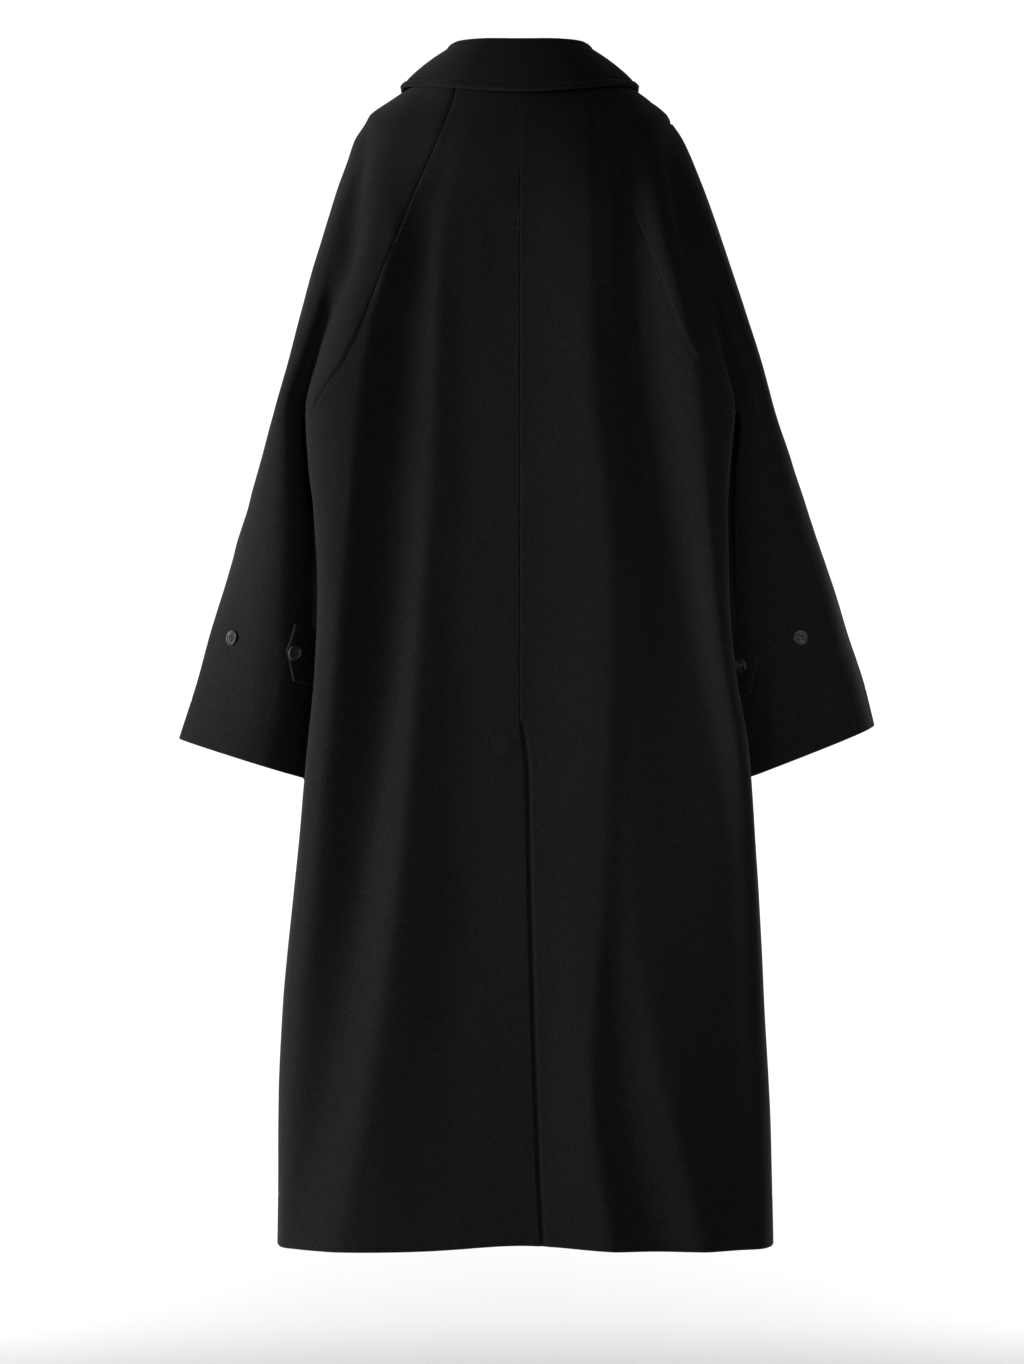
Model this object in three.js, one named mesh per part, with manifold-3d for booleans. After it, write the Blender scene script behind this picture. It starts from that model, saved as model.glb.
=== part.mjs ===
// A long balmacaan coat of black wool, filled out as if it were worn, with nobody in it.
// Millimetres, +Z up. The back of the coat faces +Y and the wearer's left is +X.
// The origin is where the wearer's shoulders hold the coat: the middle of the neck at shoulder level.

import * as THREE from "three";
import Module from "manifold-3d";

// Cloth and seams
const WALL = 3;
const COLLAR_WALL = 3.6;
const TAB_WALL = 4;
const SEAM_GAP = 0.3;
const LAYER_GAP = 0.6;
const MITRE_LIMIT = 1.6;

// Heights of the main points of the cut
const NECK = 13;
const SHOULDER_END = -31;
const UNDERARM = -335;
const VENT_TOP = -648;
const VENT_OPEN = -654;
const HEM = -1178;

// Heights of the rows of points: the yoke from the neck to the underarm, the skirt below it, and the sleeves.
// The cuff tabs lie between three rows of the sleeves.
const YOKE_ROWS = [NECK, 3, -12, SHOULDER_END, -52, -75, -105, -137, -169, -201, -233, -262, -289, -315];
const SKIRT_ROWS = [
  -355, -385, -420, -460, -505, -555, -605, VENT_TOP, VENT_OPEN,
  -710, -770, -830, -890, -950, -1010, -1070, -1130, HEM,
];
const TAB_ROWS = [-530, -556, -582];
const SLEEVE_ROWS = [-365, -400, -435, -470, -502, ...TAB_ROWS, -620];

// Columns of cells across each stretch of cloth, from the middle of the back to the middle of the front
const COLUMNS = { back: 12, backStrip: 4, side: 3, frontStrip: 3, front: 8, outerBack: 4, outerFront: 5, inner: 3 };

// Sections of the body. left and right are half widths, back and front are the depths of the middle lines,
// widest is the depth of the side, the powers square the corners off (2 is an ellipse), and the drops say
// how far the middle back and the middle front of a yoke ring lie below its sides.
const BODY = table(
  ["z", "left", "right", "back", "front", "widest", "backPower", "frontPower", "backDrop", "frontDrop"],
  [NECK, 74, 74, 64, -66, 2, 2.1, 2.1, 5, 85],
  [3, 103, 103, 84, -85, 0, 2.1, 2.1, 12, 88],
  [-12, 131, 130, 99, -103, 0, 2.2, 2.1, 18, 90],
  [SHOULDER_END, 157.5, 154, 112, -117, 0, 2.6, 2.2, 21, 87],
  [-52, 163, 160, 121, -125, 0, 2.8, 2.2, 22, 84],
  [-75, 167, 167, 127, -130, 2, 3.1, 2.2, 22, 80],
  [-113, 172, 174, 134, -135, 6, 4.2, 2.2, 18, 68],
  [-154, 178, 180, 138, -137, 12, 5.5, 2.2, 12, 52],
  [-195, 186, 187, 141, -138, 18, 7, 2.2, 7, 37],
  [-236, 195, 196, 142, -138, 22, 8, 2.2, 4, 24],
  [-277, 205, 205, 143, -138, 26, 8.5, 2.2, 1, 12],
  [UNDERARM, 216, 217, 144, -138, 28, 9, 2.2, 0, 0],
  [-393, 213, 212, 145, -138, 28, 9.5, 2.2, 0, 0],
  [-436, 208, 210, 145, -138, 28, 10.5, 2.2, 0, 0],
  [-519, 204, 211, 146, -138, 28, 11, 2.2, 0, 0],
  [-594, 207, 219, 148, -140, 27, 11, 2.2, 0, 0],
  [-680, 215, 236, 151, -143, 26, 10, 2.2, 0, 0],
  [-792, 225.5, 239, 157, -148, 25, 8.5, 2.2, 0, 0],
  [-936, 240, 248, 165, -156, 25, 7, 2.2, 0, 0],
  [-1039, 244.5, 253, 169, -160, 25, 6, 2.2, 0, 0],
  [HEM, 246, 257, 172, -164, 25, 5, 2.2, 0, 0],
);
const SIDE_SEAM_Y = -10;
const BACK_CORNER_BEHIND_SEAM = 100;
const FRONT_CORNER_AHEAD_OF_SEAM = 52;
const UNDERARM_SAG = 8;

// Rings of the sleeves. outer and inner are their reach from the coat's middle, y and depth their middle and
// half depth, turn swings the ring's back end inwards, and lean is how much lower the inner side lies. The powers
// shape the outer and the inner half: 2 is an ellipse, more is squarer, and less has flat slanting faces.
// Above the underarm only the outer part of a ring is cloth, and z is the height of the outer side.
const SLEEVE_COLUMNS = ["z", "outer", "inner", "y", "depth", "turn", "lean", "outerPower", "innerPower"];
const LEFT_SLEEVE = table(
  SLEEVE_COLUMNS,
  [SHOULDER_END, 158.5, 104, 0, 58, 0, 0, 2, 2],
  [-52, 171, 108, 0, 74, 0, 0, 2.1, 2],
  [-75, 178, 111, 2, 86, 0, 0, 2.2, 2],
  [-113, 189.5, 118, 6, 98, -3, 0, 2.4, 2],
  [-154, 201, 130, 10, 105, -5, 0, 2.5, 2],
  [-195, 212, 143, 12, 109, -7, 0, 2.5, 2],
  [-236, 222, 158, 12, 111, -8, 0, 2.4, 2],
  [-277, 232, 173, 9, 111, -9, 0, 2.3, 2],
  [UNDERARM, 249, 190, 5, 108, -10, 0, 2.1, 2],
  [-384, 265, 190, 3, 101, -8, 8, 2, 2],
  [-443, 284, 192, 3, 95, -3, 16, 1.9, 2],
  [-500, 300.5, 197, 4, 88, 4, 25, 1.8, 1.9],
  [-555, 317.5, 201, 5, 82, 11, 32, 1.7, 1.85],
  [-608, 331, 204, 7, 77, 15, 39, 1.65, 1.8],
  [-668, 350, 208, 8, 72, 18, 44, 1.65, 1.8],
);
const RIGHT_SLEEVE = table(
  SLEEVE_COLUMNS,
  [SHOULDER_END, 155, 104, 0, 58, 0, 0, 2, 2],
  [-52, 168, 108, 0, 73, 0, 0, 2.1, 2],
  [-75, 178, 111, 2, 85, 0, 0, 2.2, 2],
  [-113, 191, 118, 6, 97, -3, 0, 2.4, 2],
  [-154, 204, 130, 10, 104, -5, 0, 2.5, 2],
  [-195, 217, 143, 12, 108, -7, 0, 2.6, 2],
  [-236, 230, 158, 12, 110, -8, 0, 2.6, 2],
  [-277, 243, 173, 9, 110, -8, 0, 2.6, 2],
  [UNDERARM, 259.5, 190, 5, 107, -8, 0, 2.6, 2],
  [-384, 278.5, 190, 3, 100, -4, 9, 2.7, 2],
  [-443, 299.5, 194, 3, 92, 1, 20, 3, 2],
  [-500, 320, 202, 4, 84, 5, 30, 3.5, 2.2],
  [-555, 337.5, 217, 5, 77, 8, 40, 4, 2.4],
  [-608, 355, 234, 7, 70, 10, 47, 4.4, 2.6],
  [-655, 366, 245, 8, 64, 11, 53, 4.4, 2.6],
);
// The columns on the back and the front of a sleeve run down from the ends of the armhole to these angles of its
// ring, and the sleeve hangs this clear of the body.
const SLEEVE_CORNERS = { left: 106, right: 128, front: -140, settled: -470 };
const SLEEVE_CLEARANCE = 7;
const LEAST_ACROSS = 10;
// The valleys beside a sleeve are rounded off this wide at the underarm and at the shoulder. Above the shoulder's
// end they lie this share of the way from the raglan seams to the outermost point.
const VALLEY_WIDTH = { underarm: 4, shoulder: 26 };
const VALLEY_SHARE = 0.45;
const SOFTEN_REACH = 3;

// The raglan seams, as their reach from the middle, and how far inside the outline the over-arm seams lie
const SEAMS = table(
  ["z", "back", "front", "leftOverArm", "rightOverArm"],
  [NECK, 62, 58, 0.2, 0.3],
  [-12, 70, 68, 0.4, 1],
  [-52, 87, 82, 0.8, 4],
  [-99, 106, 98, 1, 6],
  [-138, 119, 112, 1, 8],
  [-187, 137, 130, 1, 10],
  [-246, 158, 148, 1, 12],
  [-289, 179, 162, 1, 13],
  [-315, 196, 168, 1, 15],
  [UNDERARM, 206, 172, 1, 18],
  [-400, 206, 172, 1, 21],
  [-668, 206, 172, 1, 22],
);

// Fold lines of the back and the front, from the wearer's right (-X) to the left: where each crest or trough
// lies, and how far it stands out, at these heights. Between two lines the cloth swings over smoothly, steeper
// near the crest where the sharpness is below 1. At the sides of the body this share of the last lift is left.
const FOLD_HEIGHTS = [-30, -120, -300, -540, -780, -1000, HEM];
const CREST_SHARPNESS = 0.8;
const LIFT_LEFT_AT_SIDES = 0.7;
const BACK_FOLDS = [
  { name: "right side crest", x: [-120, -140, -178, -200, -235, -240, -246], lift: [2, 5, 9, 10, 6, 5, 5] },
  { name: "right main trough", x: [-100, -107, -117, -160, -205, -213, -220], lift: [0, -4, -10, -12, -7, -5, -4] },
  { name: "right lower crest", x: [-88, -92, -96, -112, -106, -142, -186], lift: [0, 1, 0, 1, 4, 5, 4] },
  { name: "right lower trough", x: [-78, -80, -86, -102, -97, -100, -132], lift: [0, 2, 3, 4, 5, 0, -6] },
  { name: "right blade crest", x: [-68, -70, -77, -93, -88, -72, -92], lift: [1, 3, 5, 6, 7, 8, 6] },
  { name: "middle", x: [0, 0, 0, -1, -4, -12, -18], lift: [0, -1, -3, -3, -2, -3, -7] },
  { name: "left inner trough", x: [42, 42, 50, 50, 50, 52, 60], lift: [0, -1, -4, -4, -3, -2, -3] },
  { name: "left blade crest", x: [80, 81, 84, 96, 110, 124, 130], lift: [1, 2, 0, 1, 6, 9, 7] },
  { name: "left main trough", x: [97, 99, 114, 130, 166, 203, 226], lift: [0, -1, -7, -7, -9, -6, -3] },
  { name: "left side crest", x: [118, 124, 160, 182, 206, 228, 240], lift: [2, 5, 7, 7, 4, 2, 2] },
];
const FRONT_FOLDS = [
  { name: "right side crest", x: [-110, -125, -150, -176, -190, -205, -215], lift: [0, 2, 4, 5, 6, 5, 4] },
  { name: "right chest trough", x: [-85, -96, -112, -130, -142, -155, -166], lift: [-1, -4, -8, -10, -9, -8, -9] },
  { name: "right chest crest", x: [-66, -70, -78, -88, -92, -98, -108], lift: [0, 2, 4, 5, 5, 6, 7] },
  { name: "fly", x: [0, 0, 0, 0, 0, 0, 0], lift: [0, 0, -1, -2, -2, -3, -3] },
  { name: "left chest crest", x: [64, 69, 80, 84, 95, 104, 116], lift: [0, 2, 4, 6, 5, 7, 6] },
  { name: "left chest trough", x: [86, 98, 116, 126, 139, 158, 172], lift: [-1, -4, -9, -10, -10, -8, -8] },
  { name: "left side crest", x: [112, 127, 154, 172, 188, 203, 220], lift: [0, 2, 4, 6, 6, 4, 4] },
];

// Vent and fly: the edge on top, how far the layer below reaches under it, and the step down to that layer
const VENT_EDGE = table(["z", "x"], [VENT_OPEN, 0], [-700, -5], [-800, -7], [-950, -11], [-1100, -16], [HEM, -20]);
const UNDERLAP_REACH = 36;
const FLY_LAP = 30;
const STEP_DEPTH = WALL + 1.5;
const STEP_START = 14;
const STEP_END = 3;

// The collar around the neck, by the angle round the neck from the back (90) to the front (-90): the top of its
// roll and the edge of its fall. The first row is the far side of the middle, for a smooth curve there.
const COLLAR = table(
  ["angle", "rollX", "rollY", "rollZ", "edgeX", "edgeY", "edgeZ"],
  [120, -34, 56, 46, -60, 90, -12],
  [90, 0, 59, 45.5, 0, 98, -13],
  [60, 34, 56, 46, 60, 90, -9],
  [30, 60, 38, 46, 100, 55, 0],
  [0, 70, 6, 43, 123, 8, 3],
  [-30, 62, -28, 22, 119, -46, -24],
  [-60, 38, -58, -18, 100, -92, -64],
  [-87, 7, -74, -38, 57, -119, -103],
);
const COLLAR_ENDS = { back: 90, front: -87, columns: 14 };
const ROLL_RADIUS = 6;
const ROLL_ANGLES = [180, 140, 95, 50, 10];
const STAND_TOP_BELOW_ROLL = 12;
const FALL_ROWS = 6;
const FALL_BULGE = 3;
const FALL_CLEARANCE = 1.2;
const STEEPEST_REST = 0.35;

// Cuff tabs and buttons
const TABS = { leftTip: 9, rightTip: 17 };
const BUTTON = {
  radius: 7.75, thickness: 3, rim: 1.3, rimSlope: 1, dish: 0.7, edge: 0.7, holeRadius: 0.9, holeSpread: 1.7,
  roundSteps: 24, holeSteps: 8,
};
const SLEEVE_BUTTONS = { left: [296, -565], right: [-288, -565] };

const cloth = new THREE.MeshStandardMaterial({ color: 0x17171a, roughness: 0.95, metalness: 0 });
const horn = new THREE.MeshStandardMaterial({ color: 0x1b1a1b, roughness: 0.4, metalness: 0 });
const coat = new THREE.Group();
const wasm = await Module();
wasm.setup();

// Rows of numbers under named columns. The first column is the key that the rows are ordered by, downwards.
function table(names, ...rows) {
  return rows.map((row) => Object.fromEntries(names.map((name, i) => [name, row[i]])));
}

// A table's column at a key: a smooth curve through the rows, with no overshoot.
function at(rows, column, key) {
  const keyName = Object.keys(rows[0])[0];
  const last = rows.length - 1;
  if (key >= rows[0][keyName]) return rows[0][column];
  if (key <= rows[last][keyName]) return rows[last][column];
  const span = (k) => rows[k + 1][keyName] - rows[k][keyName];
  const rise = (k) => (rows[k + 1][column] - rows[k][column]) / span(k);
  const slope = (k) => {
    if (k === 0) return rise(0);
    if (k === last) return rise(last - 1);
    const product = rise(k - 1) * rise(k);
    return product <= 0 ? 0 : (2 * product) / (rise(k - 1) + rise(k));
  };
  let i = 0;
  while (rows[i + 1][keyName] > key) i++;
  const t = (key - rows[i][keyName]) / span(i);
  const t2 = t * t;
  const t3 = t2 * t;
  return (
    rows[i][column] * (2 * t3 - 3 * t2 + 1) +
    slope(i) * span(i) * (t3 - 2 * t2 + t) +
    rows[i + 1][column] * (3 * t2 - 2 * t3) +
    slope(i + 1) * span(i) * (t3 - t2)
  );
}

function easeInOut(t) {
  const c = Math.min(1, Math.max(0, t));
  return c * c * (3 - 2 * c);
}

function overArmInset(z, side) {
  return at(SEAMS, side > 0 ? "leftOverArm" : "rightOverArm", z);
}

function halfWidth(z, side) {
  return at(BODY, side > 0 ? "left" : "right", z);
}

// How far the folds push the cloth of the back or the front outwards at x.
function foldLift(folds, x, z) {
  const curve = (values) => at(FOLD_HEIGHTS.map((height, i) => ({ z: height, v: values[i] })), "v", z);
  const lines = folds.map((fold) => ({ x: curve(fold.x), lift: curve(fold.lift) }));
  const edges = [
    { x: -halfWidth(z, -1), lift: lines[0].lift * LIFT_LEFT_AT_SIDES },
    ...lines,
    { x: halfWidth(z, 1), lift: lines.at(-1).lift * LIFT_LEFT_AT_SIDES },
  ];
  let i = 0;
  while (i < edges.length - 2 && edges[i + 1].x < x) i++;
  const rise = edges[i + 1].lift - edges[i].lift;
  const t = THREE.MathUtils.clamp((x - edges[i].x) / (edges[i + 1].x - edges[i].x), 0, 1);
  return edges[i].lift + rise * easeInOut(rise < 0 ? t ** CREST_SHARPNESS : 1 - (1 - t) ** CREST_SHARPNESS);
}

// A point of the body's section. The angle is 90 degrees at the middle of the back, 0 at the side, -90 in front.
function bodyPoint(z, side, degrees) {
  const angle = THREE.MathUtils.degToRad(degrees);
  const behind = degrees >= 0;
  const power = at(BODY, behind ? "backPower" : "frontPower", z);
  const c = Math.max(0, Math.cos(angle));
  const s = Math.abs(Math.sin(angle));
  const reach = (c ** power + s ** power) ** (-1 / power);
  const widest = at(BODY, "widest", z);
  const depth = at(BODY, behind ? "back" : "front", z) - widest;
  const x = side * halfWidth(z, side) * reach * c;
  const share = reach * s;
  const lift = foldLift(behind ? BACK_FOLDS : FRONT_FOLDS, x, z) * (behind ? 1 : -1);
  const drop = at(BODY, behind ? "backDrop" : "frontDrop", z) * share ** 1.6;
  return new THREE.Vector3(x, widest + depth * share + lift * easeInOut(share * 3), z - drop);
}

function bodySection(z, side) {
  const STEPS = 240;
  return Array.from({ length: STEPS + 1 }, (_, i) => bodyPoint(z, side, 90 - (180 * i) / STEPS));
}

// A sleeve's ring, a squared ellipse: its middle, its two half axes and how far it is turned.
function sleeveEllipse(z, side) {
  const rows = side > 0 ? LEFT_SLEEVE : RIGHT_SLEEVE;
  const outer = at(rows, "outer", z);
  const inner = at(rows, "inner", z);
  const turn = THREE.MathUtils.degToRad(at(rows, "turn", z));
  const depth = at(rows, "depth", z);
  const outerPower = at(rows, "outerPower", z);
  const innerPower = at(rows, "innerPower", z);
  const reach = (outer - inner) / 2;
  const dual = outerPower / (outerPower - 1);
  const left = reach ** dual - (depth * Math.abs(Math.sin(turn))) ** dual;
  const across = Math.max(LEAST_ACROSS ** dual, left) ** (1 / dual) / Math.cos(turn);
  const middle = (outer + inner) / 2;
  const y = at(rows, "y", z);
  return { middle, y, across, depth, turn, reach, outerPower, innerPower, lean: at(rows, "lean", z) };
}

// A number's size raised to a power, with its own sign.
function signedPower(value, power) {
  return Math.sign(value) * Math.abs(value) ** power;
}

// A point of a sleeve's ring. The angle is 0 outside, 90 degrees behind, 180 inside and -90 in front.
function sleevePoint(z, side, degrees) {
  const e = sleeveEllipse(z, side);
  const angle = THREE.MathUtils.degToRad(degrees);
  const power = Math.cos(angle) > 0 ? e.outerPower : e.innerPower;
  const u = e.across * signedPower(Math.cos(angle), 2 / power);
  const v = e.depth * signedPower(Math.sin(angle), 2 / power);
  const x = e.middle + u * Math.cos(e.turn) - v * Math.sin(e.turn);
  const y = e.y + u * Math.sin(e.turn) + v * Math.cos(e.turn);
  const lower = (e.lean * (e.middle + e.reach - x)) / (2 * e.reach);
  return new THREE.Vector3(side * x, y, z - lower);
}

// Where a point lies against a sleeve's ring: inside it or not, and at what angle.
function onSleeve(point, z, side) {
  const e = sleeveEllipse(z, side);
  const dx = side * point.x - e.middle;
  const dy = point.y - e.y;
  const across = (dx * Math.cos(e.turn) + dy * Math.sin(e.turn)) / e.across;
  const power = across > 0 ? e.outerPower : e.innerPower;
  const u = signedPower(across, power / 2);
  const v = signedPower((dy * Math.cos(e.turn) - dx * Math.sin(e.turn)) / e.depth, power / 2);
  return { inside: u * u + v * v < 1, degrees: THREE.MathUtils.radToDeg(Math.atan2(v, u)) };
}

// A line of points with the length to each of them.
function measure(points) {
  const lengths = [0];
  for (let i = 1; i < points.length; i++) lengths.push(lengths[i - 1] + points[i].distanceTo(points[i - 1]));
  return { points, lengths, total: lengths[lengths.length - 1] };
}

function pointAt(line, length) {
  const wanted = Math.min(line.total, Math.max(0, length));
  let i = 0;
  while (i < line.points.length - 2 && line.lengths[i + 1] < wanted) i++;
  const span = line.lengths[i + 1] - line.lengths[i];
  return line.points[i].clone().lerp(line.points[i + 1], span > 0 ? (wanted - line.lengths[i]) / span : 0);
}

// The length, after a first one, where a value of the line's points passes a target.
function lengthWhere(line, value, target, after = 0) {
  for (let i = 1; i < line.points.length; i++) {
    if (line.lengths[i] <= after) continue;
    const before = value(line.points[i - 1]) - target;
    const here = value(line.points[i]) - target;
    if (before * here > 0 || before === here) continue;
    return line.lengths[i - 1] + ((line.lengths[i] - line.lengths[i - 1]) * before) / (before - here);
  }
  return line.total;
}

// Lengths from one to another in equal steps, both included.
function steps(from, to, count) {
  return Array.from({ length: count + 1 }, (_, i) => from + ((to - from) * i) / count);
}

// Rounds a line off around one length, less and less away from it.
function soften(line, length, width) {
  const points = line.points.map((point, i) => {
    const near = 1 - Math.abs(line.lengths[i] - length) / (SOFTEN_REACH * width);
    if (near <= 0) return point;
    const spread = width * easeInOut(near);
    const sum = new THREE.Vector3();
    const samples = [-1, -0.6, -0.3, 0, 0.3, 0.6, 1];
    samples.forEach((s) => sum.add(pointAt(line, line.lengths[i] + s * spread)));
    return sum.divideScalar(samples.length);
  });
  return measure(points);
}

// One side's section of the yoke, from the middle of the back over the sleeve to the middle of the front, with
// the lengths of the seams on it and of the valleys beside the sleeve.
function yokeSection(z, side) {
  const out = (p) => side * p.x;
  const body = bodySection(z, side);
  let line = measure(body);
  let valleys;
  if (z <= SHOULDER_END) {
    const first = body.findIndex((point) => onSleeve(point, z, side).inside);
    const last = body.findLastIndex((point) => onSleeve(point, z, side).inside);
    const ring = sleeveArc(z, side, body[first], body[last]);
    line = measure([...body.slice(0, first), ...ring, ...body.slice(last + 1)]);
    valleys = [line.lengths[first], line.lengths[first + ring.length - 1]];
    const rise = easeInOut((z - UNDERARM) / (SHOULDER_END - UNDERARM));
    const width = VALLEY_WIDTH.underarm + (VALLEY_WIDTH.shoulder - VALLEY_WIDTH.underarm) * rise;
    valleys.forEach((valley) => {
      line = soften(line, valley, width);
    });
  }
  const reach = Math.max(...line.points.map(out));
  const outermost = line.lengths[line.points.findIndex((p) => out(p) === reach)];
  const backSeam = lengthWhere(line, out, at(SEAMS, "back", z));
  const frontSeam = lengthWhere(line, out, at(SEAMS, "front", z), outermost);
  valleys ??= [backSeam, frontSeam].map((seam) => seam + (outermost - seam) * VALLEY_SHARE);
  const overArm = lengthWhere(line, out, reach - overArmInset(z, side), valleys[0]);
  return { line, backSeam, backCorner: valleys[0], overArm, frontCorner: valleys[1], frontSeam };
}

// The outer part of a sleeve's ring between two points of the body, rising to the ring's height in between.
function sleeveArc(z, side, start, end) {
  const STEPS = 90;
  const from = onSleeve(start, z, side).degrees;
  const to = onSleeve(end, z, side).degrees;
  return steps(from, to, STEPS).map((degrees, i) => {
    const point = sleevePoint(z, side, degrees);
    const base = start.z + (end.z - start.z) * easeInOut(i / STEPS);
    point.z = base + (z - base) * Math.sin((Math.PI * i) / STEPS);
    return point;
  });
}

// How far the body reaches sideways at a depth and height.
function bodyReach(y, z, side) {
  const widest = at(BODY, "widest", z);
  const behind = y >= widest;
  const power = at(BODY, behind ? "backPower" : "frontPower", z);
  const depth = Math.abs(at(BODY, behind ? "back" : "front", z) - widest);
  const share = Math.min(1, Math.abs(y - widest) / depth);
  return halfWidth(z, side) * (1 - share ** power) ** (1 / power);
}

// A sheet of cloth: the outer points and the cells of all pieces that share seams, so that the pieces face the
// same way along a seam.
class Sheet {
  constructor() {
    this.points = [];
    this.cells = [];
  }

  add(point) {
    this.points.push(point.clone());
    return this.points.length - 1;
  }

  addAll(points) {
    return points.map((point) => this.add(point));
  }

  // Cells between two rows of point numbers. turned says whether the rows run the other way round.
  between(piece, upper, lower, turned) {
    for (let i = 0; i + 1 < upper.length; i++) {
      this.cell(piece, [upper[i], lower[i], lower[i + 1], upper[i + 1]], turned);
    }
  }

  cell(piece, corners, turned) {
    const own = corners.filter((corner, i) => corners.indexOf(corner) === i);
    if (own.length >= 3) this.cells.push({ piece, corners: turned ? own.reverse() : own });
  }

  normals() {
    const normals = this.points.map(() => new THREE.Vector3());
    for (const { corners } of this.cells) {
      corners.forEach((corner, i) => {
        const next = this.points[corners[(i + 1) % corners.length]].clone().sub(this.points[corner]);
        const previous = this.points[corners[(i + corners.length - 1) % corners.length]].clone();
        normals[corner].add(next.cross(previous.sub(this.points[corner])).normalize());
      });
    }
    return normals.map((normal) => normal.normalize());
  }

  // One piece as a closed wall: its outer points, the same points a wall's thickness further in, and the cut
  // edges between them, drawn back from the seams by half the seam's gap.
  solid(piece, wall) {
    const normals = this.normals();
    const cells = this.cells.filter((cell) => cell.piece === piece);
    const rim = this.rim(cells);
    const inset = this.insets(rim, normals);
    const thickness = this.thicknesses(cells, normals, wall);
    const numbers = new Map();
    const outer = [];
    const inner = [];
    for (const corner of new Set(cells.flatMap((cell) => cell.corners))) {
      const place = this.points[corner].clone();
      if (inset.has(corner)) place.addScaledVector(inset.get(corner).normalize(), SEAM_GAP / 2);
      numbers.set(corner, outer.length);
      outer.push(place);
      inner.push(place.clone().addScaledVector(normals[corner], -thickness.get(corner)));
    }
    const triangles = [];
    const deep = outer.length;
    for (const { corners } of cells) {
      for (const part of this.split(corners)) {
        const [i, j, k] = part.map((corner) => numbers.get(corner));
        triangles.push(i, j, k, deep + k, deep + j, deep + i);
      }
    }
    for (const [a, b] of rim) {
      const i = numbers.get(a);
      const j = numbers.get(b);
      if (a < b) triangles.push(j, i, deep + i, j, deep + i, deep + j);
      else triangles.push(j, i, deep + j, i, deep + i, deep + j);
    }
    return geometryOf([...outer, ...inner], triangles);
  }

  // The edges of a piece: those that only one of its cells has.
  rim(cells) {
    const edges = new Map();
    for (const { corners } of cells) {
      corners.forEach((a, i) => {
        const b = corners[(i + 1) % corners.length];
        edges.set(a + "," + b, [a, b]);
      });
    }
    return [...edges.values()].filter(([a, b]) => !edges.has(b + "," + a));
  }

  // The directions into the piece at the ends of its edges.
  insets(rim, normals) {
    const inset = new Map();
    for (const [a, b] of rim) {
      const run = this.points[b].clone().sub(this.points[a]).normalize();
      for (const end of [a, b]) {
        const inward = normals[end].clone().cross(run).normalize();
        inset.set(end, (inset.get(end) ?? new THREE.Vector3()).add(inward));
      }
    }
    return inset;
  }

  // The wall along a point's own direction is thicker where the cloth bends there.
  thicknesses(cells, normals, wall) {
    const least = new Map();
    for (const { corners } of cells) {
      const [a, b, c] = corners.map((corner) => this.points[corner]);
      const face = b.clone().sub(a).cross(c.clone().sub(a)).normalize();
      for (const corner of corners) {
        const slant = Math.max(1 / MITRE_LIMIT, face.dot(normals[corner]));
        least.set(corner, Math.min(least.get(corner) ?? 1, slant));
      }
    }
    return new Map([...least].map(([corner, slant]) => [corner, wall / slant]));
  }

  // A cell's triangles, across its shorter diagonal.
  split(corners) {
    if (corners.length === 3) return [corners];
    const [a, b, c, d] = corners;
    const direct = this.points[a].distanceTo(this.points[c]) <= this.points[b].distanceTo(this.points[d]);
    return direct ? [[a, b, c], [a, c, d]] : [[a, b, d], [b, c, d]];
  }
}

function geometryOf(points, triangles) {
  const geometry = new THREE.BufferGeometry();
  const places = new Float32Array(points.flatMap((point) => [point.x, point.y, point.z]));
  geometry.setAttribute("position", new THREE.BufferAttribute(places, 3));
  geometry.setIndex(triangles);
  geometry.computeVertexNormals();
  return geometry;
}

function addPiece(name, geometry, material) {
  const mesh = new THREE.Mesh(geometry, material.clone());
  mesh.name = name;
  mesh.updateMatrixWorld(true);
  coat.add(mesh);
  return mesh;
}

// Moves some points of a panel in by the step to a lower layer, along the cloth's own direction there. Each row
// runs across the panel, and stepped says which of its points move.
function stepIn(rows, stepped, outwardY) {
  return rows.map((row, r) => {
    const above = rows[Math.max(0, r - 1)];
    const below = rows[Math.min(rows.length - 1, r + 1)];
    return row.map((point, c) => {
      if (!stepped[r][c]) return point;
      const across = row[Math.min(row.length - 1, c + 1)].clone().sub(row[Math.max(0, c - 1)]);
      const down = below[Math.min(c, below.length - 1)].clone().sub(above[Math.min(c, above.length - 1)]);
      const normal = across.cross(down).normalize();
      if (normal.y * outwardY < 0) normal.negate();
      return point.clone().addScaledVector(normal, -STEP_DEPTH);
    });
  });
}

// A point of a level at a length from its middle, which is positive on the left side of the coat.
function fromMiddle(level, length, behind) {
  const line = level.sections[length >= 0 ? 1 : -1].line;
  return pointAt(line, behind ? Math.abs(length) : line.total - Math.abs(length));
}

// The levels of the coat from the neck to the hem, each with a section of both sides.
function levels() {
  const both = (z, make) => ({ z, sections: { 1: make(z, 1), "-1": make(z, -1) } });
  const yoke = [...YOKE_ROWS, UNDERARM].map((z) => both(z, yokeSection));
  return [...yoke, ...SKIRT_ROWS.map((z) => both(z, skirtSection))];
}

// A section of the skirt. Its columns carry on those of the yoke, with the same share of them behind the seams.
function skirtSection(z, side) {
  const line = measure(bodySection(z, side));
  const sideSeam = lengthWhere(line, (p) => -p.y, -SIDE_SEAM_Y);
  const backCorner = sideSeam - BACK_CORNER_BEHIND_SEAM;
  const frontCorner = sideSeam + FRONT_CORNER_AHEAD_OF_SEAM;
  const split = yokeSection(UNDERARM, side);
  const ahead = split.line.total;
  return {
    line,
    sideSeam,
    backCorner,
    frontCorner,
    backSeam: (backCorner * split.backSeam) / split.backCorner,
    frontSeam: line.total - ((line.total - frontCorner) * (ahead - split.frontSeam)) / (ahead - split.frontCorner),
  };
}

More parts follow.
